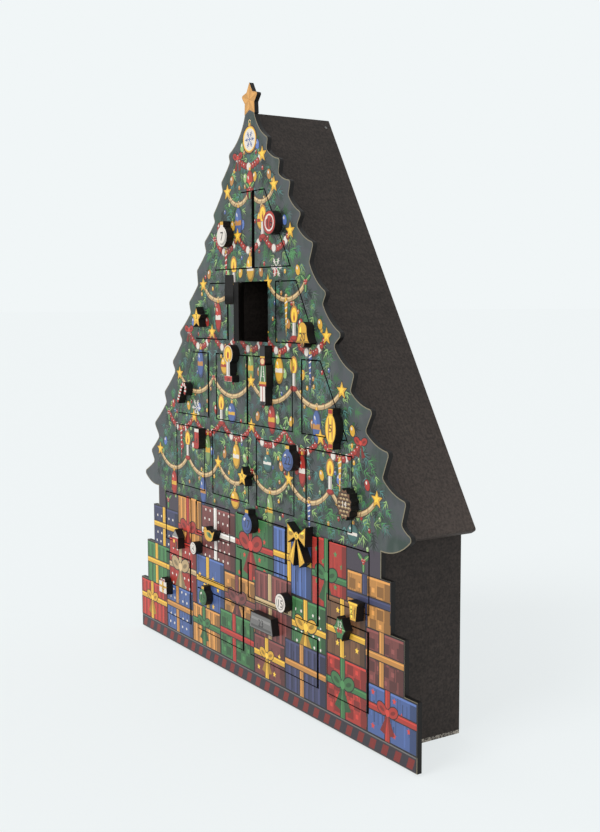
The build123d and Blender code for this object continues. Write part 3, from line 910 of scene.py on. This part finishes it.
def medallion(art, x, z, size, layer):
    """A round cream plaque with a gilt rim and a snowflake."""
    Motif(art, x, z, layer).draw(
        ("oval", 0, 0, size + 1.6, size + 1.6, "ink", 0, 0, 24),
        ("oval", 0, 0, size, size, "ochre", 1, 0, 24),
        ("oval", -0.3, 0.3, size * 0.92, size * 0.92, "gold_light", 2, 0, 24),
        ("oval", 0, 0, size * 0.82, size * 0.82, "white", 3, 0, 24),
    )
    snowflake(art, x, z, size * 0.66, layer + 4, "blue")
    cap_and_hook(art, x, z + size / 2, layer + 2)


def holly_sprig(art, x, z, layer):
    """Three leaves with a light rib, and three berries."""
    for turn in (35, 145, 270):
        Motif(art, x + 4.6 * cos(radians(turn)), z + 4.6 * sin(radians(turn)), layer).draw(
            ("oval", 0, 0, 9.0, 4.8, "ink", 0, turn, 10),
            ("oval", 0, 0, 8.0, 3.8, "green", 1, turn, 10),
            ("block", 0, 0, 7.0, 0.6, "leaf_light", 2, turn),
        )
    for across, up in ((-1.3, 0.4), (1.3, 0.5), (0, -1.5)):
        art.oval(x + across, z + up, 2.8, 2.8, "red", layer + 3, count=9)
        art.oval(x + across - 0.4, z + up + 0.5, 0.9, 0.9, "white", layer + 4, count=6)


def ribbon_bow(art, x, z, size, tone, layer):
    """Two tails, two loops with dark folds, and a knot."""
    bow = Motif(art, x, z, layer, size, size, tone)
    for out in (-1, 1):
        bow.panel([(0, 0), (out * 0.36, -0.62), (out * 0.1, -0.7)][::-out], f"{tone}_dark", 0)
    bow.draw(
        ("ovals", 0.27, 0.08, 0.56, 0.4, "ink", 1, 24, 14),
        ("ovals", 0.27, 0.08, 0.5, 0.34, "", 2, 24, 14),
        ("ovals", 0.27, 0.07, 0.26, 0.12, "_dark", 3, 24, 10),
        ("oval", 0, 0, 0.2, 0.24, "_light", 4, 0, 10),
    )


# Width, height, glass and band of the baubles
BAUBLES = (
    (12, 24, "red", "gold"),
    (12, 26, "blue", "ochre"),
    (15, 16, "gold", "red"),
    (10, 28, "leaf", "gold"),
    (13, 22, "gold", "white"),
    (15, 15, "teal", "white"),
    (11, 26, "red", "white"),
    (14, 18, "blue", "gold"),
)
BULB_TONES = ("gold", "red", "blue_light", "leaf_light", "ochre")
# Garlands from the top: kind, height, sag and scallops
GARLANDS = (
    ("beads", 450, 8, 1),
    ("rope", 424, 12, 2),
    ("beads", 386, 13, 3),
    ("rope", 346, 14, 3),
    ("beads", 304, 14, 5),
    ("rope", 264, 15, 4),
    ("beads", 226, 14, 6),
    ("rope", 188, 15, 6),
)
# How far garlands and bulbs stay from the tree's edge
GARLAND_END = 10
BULB_END = 8
# How far below a garland an ornament's middle hangs, and how far above its ends a bulb's middle stands
HANG_DROP = 15
BULB_RISE = 9
# Height of the medallion's middle, and its width
MEDALLION = (464, 22)
GARLAND_LAYER = 8
BULB_LAYER = 14
ORNAMENT_LAYER = 18
TOP_LAYER = 25


class CALENDAR_OT_ornaments(bpy.types.Operator):
    """Hang garlands, baubles, candles, stars, snowflakes and holly on the tree, and paint a highlight on one half
    of each point of the top star
    """

    bl_idname = "calendar.ornaments"
    bl_label = "Hang the ornaments"

    def execute(self, context):
        art = Art()
        count = 0
        for row, (kind, z, sag, scallops) in enumerate(GARLANDS):
            reach = self.reach(z)
            string = rope_swag if kind == "rope" else bead_string
            string(art, -reach, reach, z, sag, scallops, GARLAND_LAYER)
            span = 2 * reach / scallops
            for scallop in range(scallops):
                x = -reach + span * (scallop + 0.5)
                self.hang(art, x, z - sag - HANG_DROP, count)
                self.bulbs(art, x, z + BULB_RISE, span, count)
                count += 1
            for joint in range(scallops + 1):
                end = joint in (0, scallops)
                self.top(art, -reach + span * joint, z, row + joint, end)
        medallion(art, 0, *MEDALLION, ORNAMENT_LAYER)
        self.top_star(art)
        lay(art, "ornaments")
        return {"FINISHED"}

    def reach(self, z):
        """How far a garland at a height can go to each side and still end on the tree."""
        spots = range(TREE_REACH)
        return max(x for x in spots if all(well_inside(side, z, GARLAND_END) for side in (x, -x)))

    def hang(self, art, x, z, count):
        """Something below the middle of a scallop."""
        if count % 5 == 3:
            icicle(art, x, z, 30, ("red", "blue", "gold")[count % 3], ORNAMENT_LAYER)
        elif count % 9 == 5:
            snowflake(art, x, z, 17, ORNAMENT_LAYER)
        else:
            bauble(art, x, z, *BAUBLES[count % len(BAUBLES)], ORNAMENT_LAYER)

    def bulbs(self, art, x, z, span, count):
        """Two glowing bulbs beside what hangs in a scallop."""
        for out in (-1, 1):
            tone = BULB_TONES[(count + 2 * out) % len(BULB_TONES)]
            side = x + out * span * 0.3
            if well_inside(side, z, BULB_END):
                Motif(art, side, z, BULB_LAYER, tone=tone).draw(
                    ("block", out * 1.6, 5.2, 2.6, 2.4, "green_dark", 0, -out * 18),
                    ("oval", 0, 0, 7.0, 9.4, "ink", 1, out * 18, 12),
                    ("oval", 0, 0, 6.2, 8.6, "", 2, out * 18, 12),
                    ("oval", -1.0, 1.6, 2.0, 2.8, "white", 3, out * 18, 8),
                )

    def top(self, art, x, z, turn, end):
        """Something at the joint of two scallops, and nothing tall at a garland's ends."""
        if turn % 4 == 0 and not end:
            lit_candle(art, x, z + 4, TOP_LAYER)
        elif turn % 2:
            gilt_star(art, x, z, 14, TOP_LAYER)
        elif turn % 4 == 2:
            holly_sprig(art, x, z, TOP_LAYER)
        else:
            ribbon_bow(art, x, z + 1, 16, "red", TOP_LAYER)

    def top_star(self, art):
        """Painted highlight: one lit half to each point of the wooden star."""
        reach = STAR_REACH * STAR_HIGHLIGHT
        star = Motif(art, 0, STAR_HEIGHT, ORNAMENT_LAYER, reach, reach)
        for point in range(5):
            tip = radians(90 + 72 * point)
            side = tip + pi / 5
            notch = (STAR_WAIST * cos(side), STAR_WAIST * sin(side))
            star.panel([(0, 0), (cos(tip), sin(tip)), notch], "honey_soft", 1)


# Wrapped parcels round the tree's foot, in millimetres
# Left, right, foot and head, then paper, pattern, ribbon and whether it has a bow
PARCELS_BACK = (
    (-194, -140, 88, 131, "navy", "dots", "gold", False),
    (-140, -92, 78, 149, "ochre", "stripes", "red", True),
    (-92, -30, 92, 146, "maroon", "dots", "white", False),
    (-30, 34, 88, 149, "green", "plain", "red", True),
    (34, 92, 94, 147, "blue", "stripes", "gold", False),
    (92, 140, 80, 149, "red", "plain", "green", True),
    (140, 194, 88, 131, "ochre", "checks", "navy", False),
)
PARCELS_MIDDLE = (
    (-210, -160, 48, 92, "green", "stripes", "gold", False),
    (-160, -104, 44, 104, "red", "dots", "tan", True),
    (-104, -50, 46, 98, "blue", "plain", "gold", False),
    (-50, 4, 42, 92, "ochre", "checks", "maroon", True),
    (4, 62, 44, 104, "maroon", "stripes", "tan", False),
    (62, 112, 42, 94, "green", "dots", "gold", True),
    (112, 164, 46, 106, "brown", "plain", "gold", False),
    (164, 210, 48, 92, "maroon", "checks", "ochre", False),
)
PARCELS_FRONT = (
    (-225, -166, 12, 51, "red", "stripes", "gold", True),
    (-166, -112, 12, 58, "blue", "dots", "ochre", False),
    (-112, -58, 12, 50, "ochre", "stripes", "green", True),
    (-58, 2, 12, 56, "green", "checks", "red", False),
    (2, 52, 12, 48, "maroon", "plain", "gold", True),
    (52, 112, 12, 56, "navy", "stripes", "ochre", False),
    (112, 166, 12, 60, "red", "checks", "green", True),
    (166, 225, 12, 51, "blue", "plain", "red", True),
)
PARCEL_LAYERS = 16
# Steps of the ground behind the parcels: left, right, foot and head, and a sprig's place on the highest
GROUND_STEPS = ((-182, 182, 92, 150), (-225, 225, 0.6, 51), (-210, 210, 50, 92))
SPRIG_PLACE = (161, 140)
PATTERN_STEP = 8.5
PATTERN_EDGE = 3
STROKE_STEP = 2.6
# The border along the foot: its width, and its ticks' count, first place and step
BORDER_WIDE = 448
BORDER_TICKS = (30, -217, 15)


def parcel(art, spec, layer):
    """A wrapped box: paper with a pattern, a shaded side, a lit top, ribbons and perhaps a bow."""
    left, right, foot, head, paper, _, ribbon, bow = spec
    wide, high = right - left, head - foot
    x, z = (left + right) / 2, (foot + head) / 2
    cross, level = x - wide * 0.08, z + high * 0.06
    art.block(x, z, wide, high, "ink", layer)
    art.block(x, z, wide - 2.2, high - 2.2, paper, layer + 1)
    draw_strokes(art, spec, layer + 2)
    draw_pattern(art, spec, layer + 3)
    art.block(right - wide * 0.08, z, wide * 0.12, high - 2.4, f"{paper}_dark", layer + 4)
    art.block(x, head - 2.0, wide - 2.4, 1.6, f"{paper}_light", layer + 5)
    art.block(cross, z, 7.2, high - 1.0, "ink", layer + 6)
    art.block(cross, z, 5.4, high - 1.0, ribbon, layer + 7)
    art.block(cross - 1.4, z, 1.0, high - 1.2, f"{ribbon}_light", layer + 8)
    art.block(x, level, wide - 1.0, 6.4, "ink", layer + 8)
    art.block(x, level, wide - 1.0, 4.8, ribbon, layer + 9)
    art.block(x, level + 1.2, wide - 1.2, 0.9, f"{ribbon}_light", layer + 10)
    if bow:
        ribbon_bow(art, cross, level, min(wide, high) * 0.62, ribbon, layer + 11)


def draw_pattern(art, spec, layer):
    """Stripes, dots, checks or a few stars on the paper."""
    left, right, foot, head, paper, pattern, ribbon, _ = spec
    middle, high = (foot + head) / 2, head - foot
    for column in range(int((right - left - PATTERN_EDGE) / PATTERN_STEP)):
        x = left + PATTERN_EDGE + PATTERN_STEP * (column + 0.5)
        if pattern == "stripes":
            art.block(x, middle, 2.6, high - 2.4, f"{paper}_light", layer)
            art.block(x + 2.6, middle, 1.0, high - 2.4, f"{paper}_dark", layer)
            continue
        for row in range(int((high - PATTERN_EDGE) / PATTERN_STEP)):
            z = foot + PATTERN_EDGE + PATTERN_STEP * (row + 0.5)
            if pattern == "dots":
                art.oval(x + (row % 2) * 2 - 1, z, 2.6, 2.6, "white", layer, count=8)
            elif pattern == "checks":
                tone = "dark" if (row + column) % 2 else "light"
                size = PATTERN_STEP * (0.92 if tone == "dark" else 0.4)
                art.block(x, z, size, size, f"{paper}_{tone}", layer)
            elif (row + column) % 3 == 0:
                art.star(x, z, 5.4, f"{ribbon}_light", layer)


def draw_strokes(art, spec, layer):
    """Loose strokes of a lighter and a darker tone down the paper, as a brush leaves them."""
    left, right, foot, head, paper = spec[:5]
    draw = random.Random(sizes().seed + left)
    tones = (f"{paper}_soft", f"{paper}_low", f"{paper}_dark")
    for stroke in range(int((right - left - 4) / STROKE_STEP)):
        high = (head - foot) * draw.uniform(0.2, 0.5)
        x = left + 2 + STROKE_STEP * (stroke + draw.uniform(0.4, 0.6))
        z = draw.uniform(foot + 1 + high / 2, head - 1 - high / 2)
        tone = draw.choice(tones)
        art.block(x, z, draw.uniform(0.8, 1.8), high, tone, layer, draw.uniform(-2, 2))


class CALENDAR_OT_parcels(bpy.types.Operator):
    """Stack wrapped parcels round the foot of the tree, above a dark border"""

    bl_idname = "calendar.parcels"
    bl_label = "Stack the parcels"

    def execute(self, context):
        art = Art()
        for left, right, foot, head in GROUND_STEPS:
            art.block((left + right) / 2, (foot + head) / 2, right - left - 1.6, head - foot, "plum", 1)
        for side in (-1, 1):
            holly_sprig(art, side * SPRIG_PLACE[0], SPRIG_PLACE[1], 2)
        for group, parcels in enumerate((PARCELS_BACK, PARCELS_MIDDLE, PARCELS_FRONT)):
            for spec in parcels:
                parcel(art, spec, 2 + group * PARCEL_LAYERS)
        self.border(art, 2 + 3 * PARCEL_LAYERS)
        lay(art, "parcels")
        return {"FINISHED"}

    def border(self, art, layer):
        """A dark strip with slanted brick ticks along the foot of the board."""
        art.block(0, 6.2, BORDER_WIDE, 11.4, "plum_dark", layer)
        art.block(0, 11.4, BORDER_WIDE, 1.0, "grey", layer + 1)
        count, first, step = BORDER_TICKS
        for tick in range(count):
            x = first + tick * step
            art.panel([(x - 5, 1.6), (x + 2, 1.6), (x + 5, 9.6), (x - 2, 9.6)], "red_dark", layer + 1)


# Knob faces
# Marks about the middle of a knob, in shares of its width and height
FACES = {
    "star": (("star", -0.01, 0.02, 0.66, 0.66, "_light", 2),),
    "drop": (
        ("round", 0, -0.22, 0.7, 0.7, "gold", 2, 0, 14),
        ("round", -0.06, -0.2, 0.4, 0.44, "gold_light", 3, 0, 12),
    ),
    "bell": (
        ("block", 0, -0.27, 0.8, 0.07, "_dark", 2),
        ("oval", 0, -0.39, 0.2, 0.18, "brown", 3, 0, 10),
        ("oval", -0.14, 0.12, 0.1, 0.4, "_pale", 2, -8, 10),
        ("block", 0, 0.06, 0.5, 0.05, "_dark", 2),
    ),
    "candle": (
        ("block", 0.08, -0.1, 0.12, 0.44, "white_dark", 3),
        ("block", 0, -0.41, 0.78, 0.14, "red", 3),
        ("block", 0, -0.36, 0.78, 0.03, "red_light", 4),
    ),
    "soldier": (
        ("block", 0, 0.39, 0.6, 0.2, "ink", 2),
        ("block", 0, 0.31, 0.6, 0.03, "gold", 3),
        ("oval", 0, 0.24, 0.52, 0.1, "tan_light", 3, 0, 12),
        ("block", 0, 0.02, 0.9, 0.3, "green", 2),
        ("blocks", 0.2, 0.02, 0.08, 0.28, "white", 3, 8),
        ("blocks", 0.18, -0.33, 0.28, 0.3, "white", 2),
        ("block", 0, -0.12, 0.9, 0.04, "gold", 3),
        ("block", 0, -0.46, 0.62, 0.06, "ink", 3),
    ),
    "lantern": (
        ("oval", 0, 0, 0.82, 0.66, "_light", 2, 0, 18),
        ("ovals", 0.16, 0, 0.14, 0.58, "ochre", 3, 0, 12),
        ("block", 0, -0.42, 0.36, 0.1, "red", 3),
        ("block", 0, 0.42, 0.36, 0.1, "red", 3),
    ),
    "stocking": (
        ("block", 0.18, 0.4, 0.58, 0.16, "white", 2),
        ("oval", -0.32, -0.34, 0.26, 0.26, "white", 2, 0, 10),
        ("block", 0.04, 0.08, 0.1, 0.4, "_light", 2),
    ),
    "house": (
        ("block", 0, -0.2, 0.72, 0.52, "red", 2),
        ("block", 0.16, -0.3, 0.2, 0.34, "brown_dark", 3),
        ("block", -0.16, -0.14, 0.2, 0.16, "gold_light", 3),
        ("block", 0, 0.08, 0.76, 0.05, "white", 3),
    ),
    "bird": (
        ("oval", 0.05, 0, 0.44, 0.36, "leaf", 2, -14, 12),
        ("oval", 0.1, 0.02, 0.28, 0.14, "green", 3, -14, 10),
        ("oval", -0.3, 0.3, 0.07, 0.1, "ink", 3, 0, 8),
    ),
    "bow": (
        ("ovals", 0.3, 0.26, 0.24, 0.1, "_dark", 2, 0, 12),
        ("ovals", 0.33, 0.34, 0.18, 0.05, "_pale", 2, 20, 10),
        ("blocks", 0.22, -0.18, 0.05, 0.28, "_light", 2, 20),
        ("oval", 0, 0.24, 0.2, 0.14, "_light", 3, 0, 12),
    ),
    "cup": (
        ("block", 0, 0.41, 0.9, 0.1, "_light", 2),
        ("block", -0.16, -0.04, 0.12, 0.6, "_pale", 2, 4),
        ("block", 0.2, -0.04, 0.14, 0.6, "_dark", 2, -6),
    ),
    "parcel": (
        ("block", 0, -0.1, 0.2, 0.72, "gold", 2),
        ("block", 0, -0.06, 0.92, 0.14, "gold", 2),
        ("ovals", 0.16, 0.34, 0.18, 0.16, "red", 3, 0, 10),
    ),
    "holly": (
        ("block", 0, 0, 0.8, 0.05, "leaf_light", 2),
        ("blocks", 0.13, 0, 0.04, 0.46, "leaf", 2, 28),
        ("ovals", 0.1, -0.06, 0.2, 0.25, "red", 3, 0, 12),
        ("oval", -0.14, 0, 0.06, 0.07, "white", 4, 0, 8),
        ("oval", 0.06, 0, 0.06, 0.07, "white", 4, 0, 8),
    ),
    "plate": (
        ("block", 0, 0.18, 0.8, 0.16, "_light", 2),
        ("block", 0, -0.3, 0.86, 0.14, "_dark", 2),
    ),
}
# Corners, paint and step of a face's panel
FACE_PANELS = {
    "house": (((-0.42, 0.1), (0.42, 0.1), (0, 0.44)), "grey_light", 2),
    "bird": (((-0.36, 0.27), (-0.42, 0.23), (-0.36, 0.19)), "red", 3),
}
# Marks in shares of a knob's width, about the middle of the round at its foot or at its head
FOOT_ROUNDS = {
    "bauble": (
        ("oval", 0.08, -0.05, 0.74, 0.74, "_dark", 2, 0, 18),
        ("oval", -0.04, 0.04, 0.74, 0.74, "", 3, 0, 18),
        ("oval", -0.2, 0.22, 0.22, 0.16, "white", 5, 30, 10),
    ),
}
HEAD_ROUNDS = {
    "bauble": (("block", 0, 0.4, 0.3, 0.16, "gold", 4),),
    "candle": (
        ("oval", 0, 0, 0.88, 0.88, "gold", 2, 0, 18),
        ("oval", 0, 0.02, 0.52, 0.66, "gold_light", 3, 0, 14),
        ("oval", 0, -0.06, 0.2, 0.4, "red", 4, 0, 10),
    ),
}
# The cane's lean to its right, its own width as a share of its box, the place that it leans about, its bar
CANE_LEAN = 30
CANE_SHARE = 0.594
CANE_PIVOT = (0.054, -0.046)
CANE_BAR = 0.32
# Scales in each row of the pine cone, from the top
CONE_ROWS = (2, 3, 4, 4, 3, 2)


def cane_face(art, w, h):
    """White stripes round the crook and down the leg."""
    wide = CANE_SHARE * w
    bar = CANE_BAR * wide
    reach = (wide - bar) / 2
    lean = Matrix.Rotation(radians(CANE_LEAN), 4, "Y")
    spot = Matrix.Translation((CANE_PIVOT[0] * w, 0, CANE_PIVOT[1] * h)) @ lean
    turns = [step * pi / 4 for step in range(4)]
    stripes = [(reach * cos(turn), wide / 2 + reach * sin(turn), degrees(turn)) for turn in turns]
    stripes += [(-reach, wide * (0.44 - 0.28 * step), 0) for step in range(5)]
    for x, z, turn in stripes:
        place = spot @ Vector((x, 0, z))
        art.block(place.x, place.z, bar * 0.88, bar * 0.42, "white", 2, turn + 24 - CANE_LEAN)


def pinecone_face(art, w, h):
    """Rows of dark scales with a pale middle."""
    for row, count in enumerate(CONE_ROWS):
        z = h * (0.33 - row * 0.132)
        for scale in range(count):
            x = w * 0.21 * (scale - (count - 1) / 2)
            art.oval(x, z, 0.24 * w, 0.13 * h, "brown_deep", 2 + row % 2, count=10)
            art.oval(x, z - 0.02 * h, 0.18 * w, 0.07 * h, "tan", 4 + row % 2, count=9)


def disc_face(art, w, tone):
    """A ring, which is white on a red disc, a middle and a highlight."""
    Motif(art, 0, 0, 0, w, w, tone).draw(
        ("oval", 0, 0, 0.74, 0.74, "white" if tone == "red" else "_dark", 2, 0, 18),
        ("oval", 0, 0, 0.6, 0.6, "", 3, 0, 18),
        ("oval", -0.2, 0.22, 0.2, 0.12, "white", 4, 40, 8),
    )


def draw_face(art, shape, w, h, tone):
    """The drawing on a knob of a width and a height."""
    for rounds, middle in ((FOOT_ROUNDS, (w - h) / 2), (HEAD_ROUNDS, (h - w) / 2)):
        Motif(art, 0, middle, 0, w, w, tone).draw(*rounds.get(shape, ()))
    face = Motif(art, 0, 0, 0, w, h, tone)
    face.draw(*FACES.get(shape, ()))
    if shape in FACE_PANELS:
        face.panel(*FACE_PANELS[shape])
    if shape == "disc":
        disc_face(art, w, tone)
    elif shape == "cane":
        cane_face(art, w, h)
    elif shape == "pinecone":
        pinecone_face(art, w, h)


# Day on each knob, from the top left, with the number's height and place on the knob as shares of its box
DAYS = (7, 16, 3, 11, 20, 1, 24, 13, 5, 18, 9, 22, 14, 2, 8, 17, 6, 21, 10, 4, 15, 12, 19, 23)
NUMBER_PLACES = {
    "bauble": (0.34, 0.0, -0.1),
    "disc": (0.4, 0.0, -0.04),
    "star": (0.26, 0.0, 0.0),
    "drop": (0.24, 0.0, -0.24),
    "bell": (0.3, 0.0, -0.1),
    "cane": (0.13, -0.21, -0.1),
    "candle": (0.12, 0.0, -0.42),
    "soldier": (0.1, 0.0, 0.02),
    "lantern": (0.2, 0.0, 0.0),
    "stocking": (0.22, 0.1, -0.1),
    "pinecone": (0.2, 0.0, 0.0),
    "house": (0.2, -0.14, -0.34),
    "bird": (0.34, 0.06, -0.02),
    "bow": (0.12, 0.0, 0.24),
    "cup": (0.34, 0.0, -0.06),
    "parcel": (0.3, 0.0, -0.16),
    "holly": (0.26, 0.0, 0.2),
    "plate": (0.44, 0.0, -0.04),
}
NUMBER_TONES = {"pinecone": "white", "holly": "white", "soldier": "white"}
NUMBER_LAYER = 7
# Size of the lettering whose digits are one unit high
LETTER_SIZE = 1.4


def digits(text):
    """A number as a flat mesh about its middle, on the ground plane."""
    curve = bpy.data.curves.new("digits", "FONT")
    curve.body = text
    curve.align_x = "CENTER"
    curve.align_y = "CENTER"
    curve.resolution_u = 3
    holder = bpy.data.objects.new("digits", curve)
    bpy.context.scene.collection.objects.link(holder)
    seen = holder.evaluated_get(bpy.context.evaluated_depsgraph_get())
    mesh = bpy.data.meshes.new_from_object(seen)
    bpy.data.objects.remove(holder)
    bpy.data.curves.remove(curve)
    return mesh


class CALENDAR_OT_knobs(bpy.types.Operator):
    """Paint the knobs' faces and their numbers"""

    bl_idname = "calendar.knobs"
    bl_label = "Paint the knobs"

    def execute(self, context):
        slots = {row["node"]: row["material_slot"] for row in frame["record"]["subparts"]}
        for node in sorted(n for n in frame["nodes"] if n.startswith("knob_")):
            self.face(node, slots[node])
        return {"FINISHED"}

    def face(self, node, slot):
        """Lays a face on a knob, whose name has its number and its shape, and whose slot has its colour."""
        _, number, shape = node.split("_")[:3]
        place = int(number) - 1
        door = DOORS[place]
        tone = slot.removesuffix("_paint")
        sheet, front = front_faces(node, door.close)
        low = Vector((min(v.co.x for v in sheet.verts), 0, min(v.co.z for v in sheet.verts)))
        high = Vector((max(v.co.x for v in sheet.verts), 0, max(v.co.z for v in sheet.verts)))
        middle, size = (low + high) / 2, (high - low) / MM
        art = Art()
        draw_face(art, shape, size.x, size.z, tone)
        share, across, up = NUMBER_PLACES[shape]
        text = digits(str(DAYS[place]))
        tall = share * size.z * LETTER_SIZE
        spot = placed(across * size.x, up * size.z, 0, tall, tall)
        art.stamp(text, spot, NUMBER_TONES.get(shape, "ink"), NUMBER_LAYER)
        bpy.data.meshes.remove(text)
        art.bm.transform(Matrix.Translation(middle) @ Matrix.Scale(MM, 4))
        self.ground(sheet, art, tone)
        lay_plate(f"{node}_face", art.bm, art.paints, front, door.rest, door.body)

    def ground(self, sheet, art, tone):
        """The knob's own outline as the lowest layer, with a dark line round it."""
        bmesh.ops.delete(sheet, geom=inset_ring(sheet, sizes().knob_rim), context="FACES")
        inner = bpy.data.meshes.new("knob_ground")
        sheet.to_mesh(inner)
        sheet.free()
        art.stamp(inner, Matrix.Identity(4), tone, 1)
        bpy.data.meshes.remove(inner)


# Stage
CAMERA_PLACE = (0.8232, -0.5245, 0.3297)
CAMERA_AIM = (-0.8361, 0.5399, -0.0976)
CAMERA_ROLL = -0.19
CAMERA_LENS = 48.98
CAMERA_SENSOR = 36.0
# Suns: direction that the light travels, strength and angle across
SUNS = (
    ((-0.1, 0.75, -0.66), 1.25, 28),
    ((-0.8, 0.5, -0.35), 0.55, 40),
)
SKY_STRENGTH = 0.78
FLOOR_GLOW = 0.75


def straight_rays(tree):
    """One for rays from the camera, mirrored rays and rays through glass, nought for the rest."""
    path = tree.nodes.new("ShaderNodeLightPath")
    either = path.outputs["Is Camera Ray"]
    for name in ("Is Glossy Ray", "Is Transmission Ray"):
        more = tree.nodes.new("ShaderNodeMath")
        more.operation = "MAXIMUM"
        tree.links.new(either, more.inputs[0])
        tree.links.new(path.outputs[name], more.inputs[1])
        either = more.outputs[0]
    return either


def mix_shaders(tree, share, first, second, output):
    """Links a mix of two shaders to an output node."""
    both = tree.nodes.new("ShaderNodeMixShader")
    for source, socket in zip((share, first, second), both.inputs):
        tree.links.new(source, socket)
    tree.links.new(both.outputs["Shader"], tree.nodes[output].inputs["Surface"])


class CALENDAR_OT_stage(bpy.types.Operator):
    """Set the floor, the light and the camera"""

    bl_idname = "calendar.stage"
    bl_label = "Set the stage"

    def execute(self, context):
        scene = context.scene
        scene.view_settings.view_transform = "Standard"
        self.floor()
        self.sky(scene)
        for i, (way, strength, spread) in enumerate(SUNS):
            lamp = bpy.data.lights.new(f"sun_{i}", "SUN")
            lamp.energy = strength
            lamp.angle = radians(spread)
            holder = bpy.data.objects.new(f"sun_{i}", lamp)
            holder.rotation_euler = Vector(way).to_track_quat("-Z", "Y").to_euler()
            scene.collection.objects.link(holder)
        self.camera(scene)
        return {"FINISHED"}

    def floor(self):
        """A wide plain floor that glows a little for the camera, so that it meets the surround."""
        bm = bmesh.new()
        bmesh.ops.create_grid(bm, x_segments=1, y_segments=1, size=sizes().floor)
        mesh = bpy.data.meshes.new("floor")
        bm.to_mesh(mesh)
        bm.free()
        material, tree, shader, where = new_material("floor", roughness=0.9, specular=0.0)
        shader.inputs["Base Color"].default_value = shade("backdrop")
        pale = tree.nodes.new("ShaderNodeEmission")
        pale.inputs["Color"].default_value = shade("backdrop")
        share = tree.nodes.new("ShaderNodeMath")
        share.operation = "MULTIPLY"
        share.inputs[1].default_value = FLOOR_GLOW
        tree.links.new(straight_rays(tree), share.inputs[0])
        base, glow = shader.outputs["BSDF"], pale.outputs["Emission"]
        mix_shaders(tree, share.outputs[0], base, glow, "Material Output")
        mesh.materials.append(material)
        piece = bpy.data.objects.new("floor", mesh)
        bpy.context.scene.collection.objects.link(piece)

    def sky(self, scene):
        """A pale surround for the camera and for reflections, and an even soft light for the rest."""
        world = bpy.data.worlds.new("studio")
        world.use_nodes = True
        scene.world = world
        tree = world.node_tree
        seen = tree.nodes["Background"]
        seen.inputs["Color"].default_value = shade("backdrop")
        light = tree.nodes.new("ShaderNodeBackground")
        light.inputs["Strength"].default_value = SKY_STRENGTH
        soft, pale = light.outputs["Background"], seen.outputs["Background"]
        mix_shaders(tree, straight_rays(tree), soft, pale, "World Output")

    def camera(self, scene):
        lens = bpy.data.cameras.new("camera")
        lens.sensor_width = CAMERA_SENSOR
        lens.lens = CAMERA_LENS
        holder = bpy.data.objects.new("camera", lens)
        aim = Vector(CAMERA_AIM).to_track_quat("-Z", "Y").to_matrix().to_4x4()
        roll = Matrix.Rotation(radians(CAMERA_ROLL), 4, "Z")
        holder.matrix_world = Matrix.Translation(CAMERA_PLACE) @ aim @ roll
        scene.collection.objects.link(holder)
        scene.camera = holder


class CALENDAR_PT_panel(bpy.types.Panel):
    """Lists the steps that dress the calendar"""

    bl_idname = "CALENDAR_PT_panel"
    bl_label = "Tree calendar"
    bl_space_type = "VIEW_3D"
    bl_region_type = "UI"
    bl_category = "Calendar"

    def draw(self, context):
        for step in STEPS:
            self.layout.operator(step.bl_idname)


STEPS = (
    CALENDAR_OT_cabinet,
    CALENDAR_OT_edges,
    CALENDAR_OT_ground,
    CALENDAR_OT_twigs,
    CALENDAR_OT_ornaments,
    CALENDAR_OT_parcels,
    CALENDAR_OT_knobs,
    CALENDAR_OT_stage,
)
CLASSES = (CalendarSizes, CalendarColours, CalendarSettings, *STEPS, CALENDAR_PT_panel)


def register():
    for cls in CLASSES:
        bpy.utils.register_class(cls)
    bpy.types.Scene.calendar = PointerProperty(type=CalendarSettings)


def unregister():
    del bpy.types.Scene.calendar
    for cls in reversed(CLASSES):
        bpy.utils.unregister_class(cls)


def main():
    register()
    bpy.ops.calendar.cabinet()
    bpy.ops.calendar.edges()
    bpy.ops.calendar.ground()
    bpy.ops.calendar.twigs()
    bpy.ops.calendar.ornaments()
    bpy.ops.calendar.parcels()
    bpy.ops.calendar.knobs()
    bpy.ops.calendar.stage()


if __name__ == "__main__":
    main()
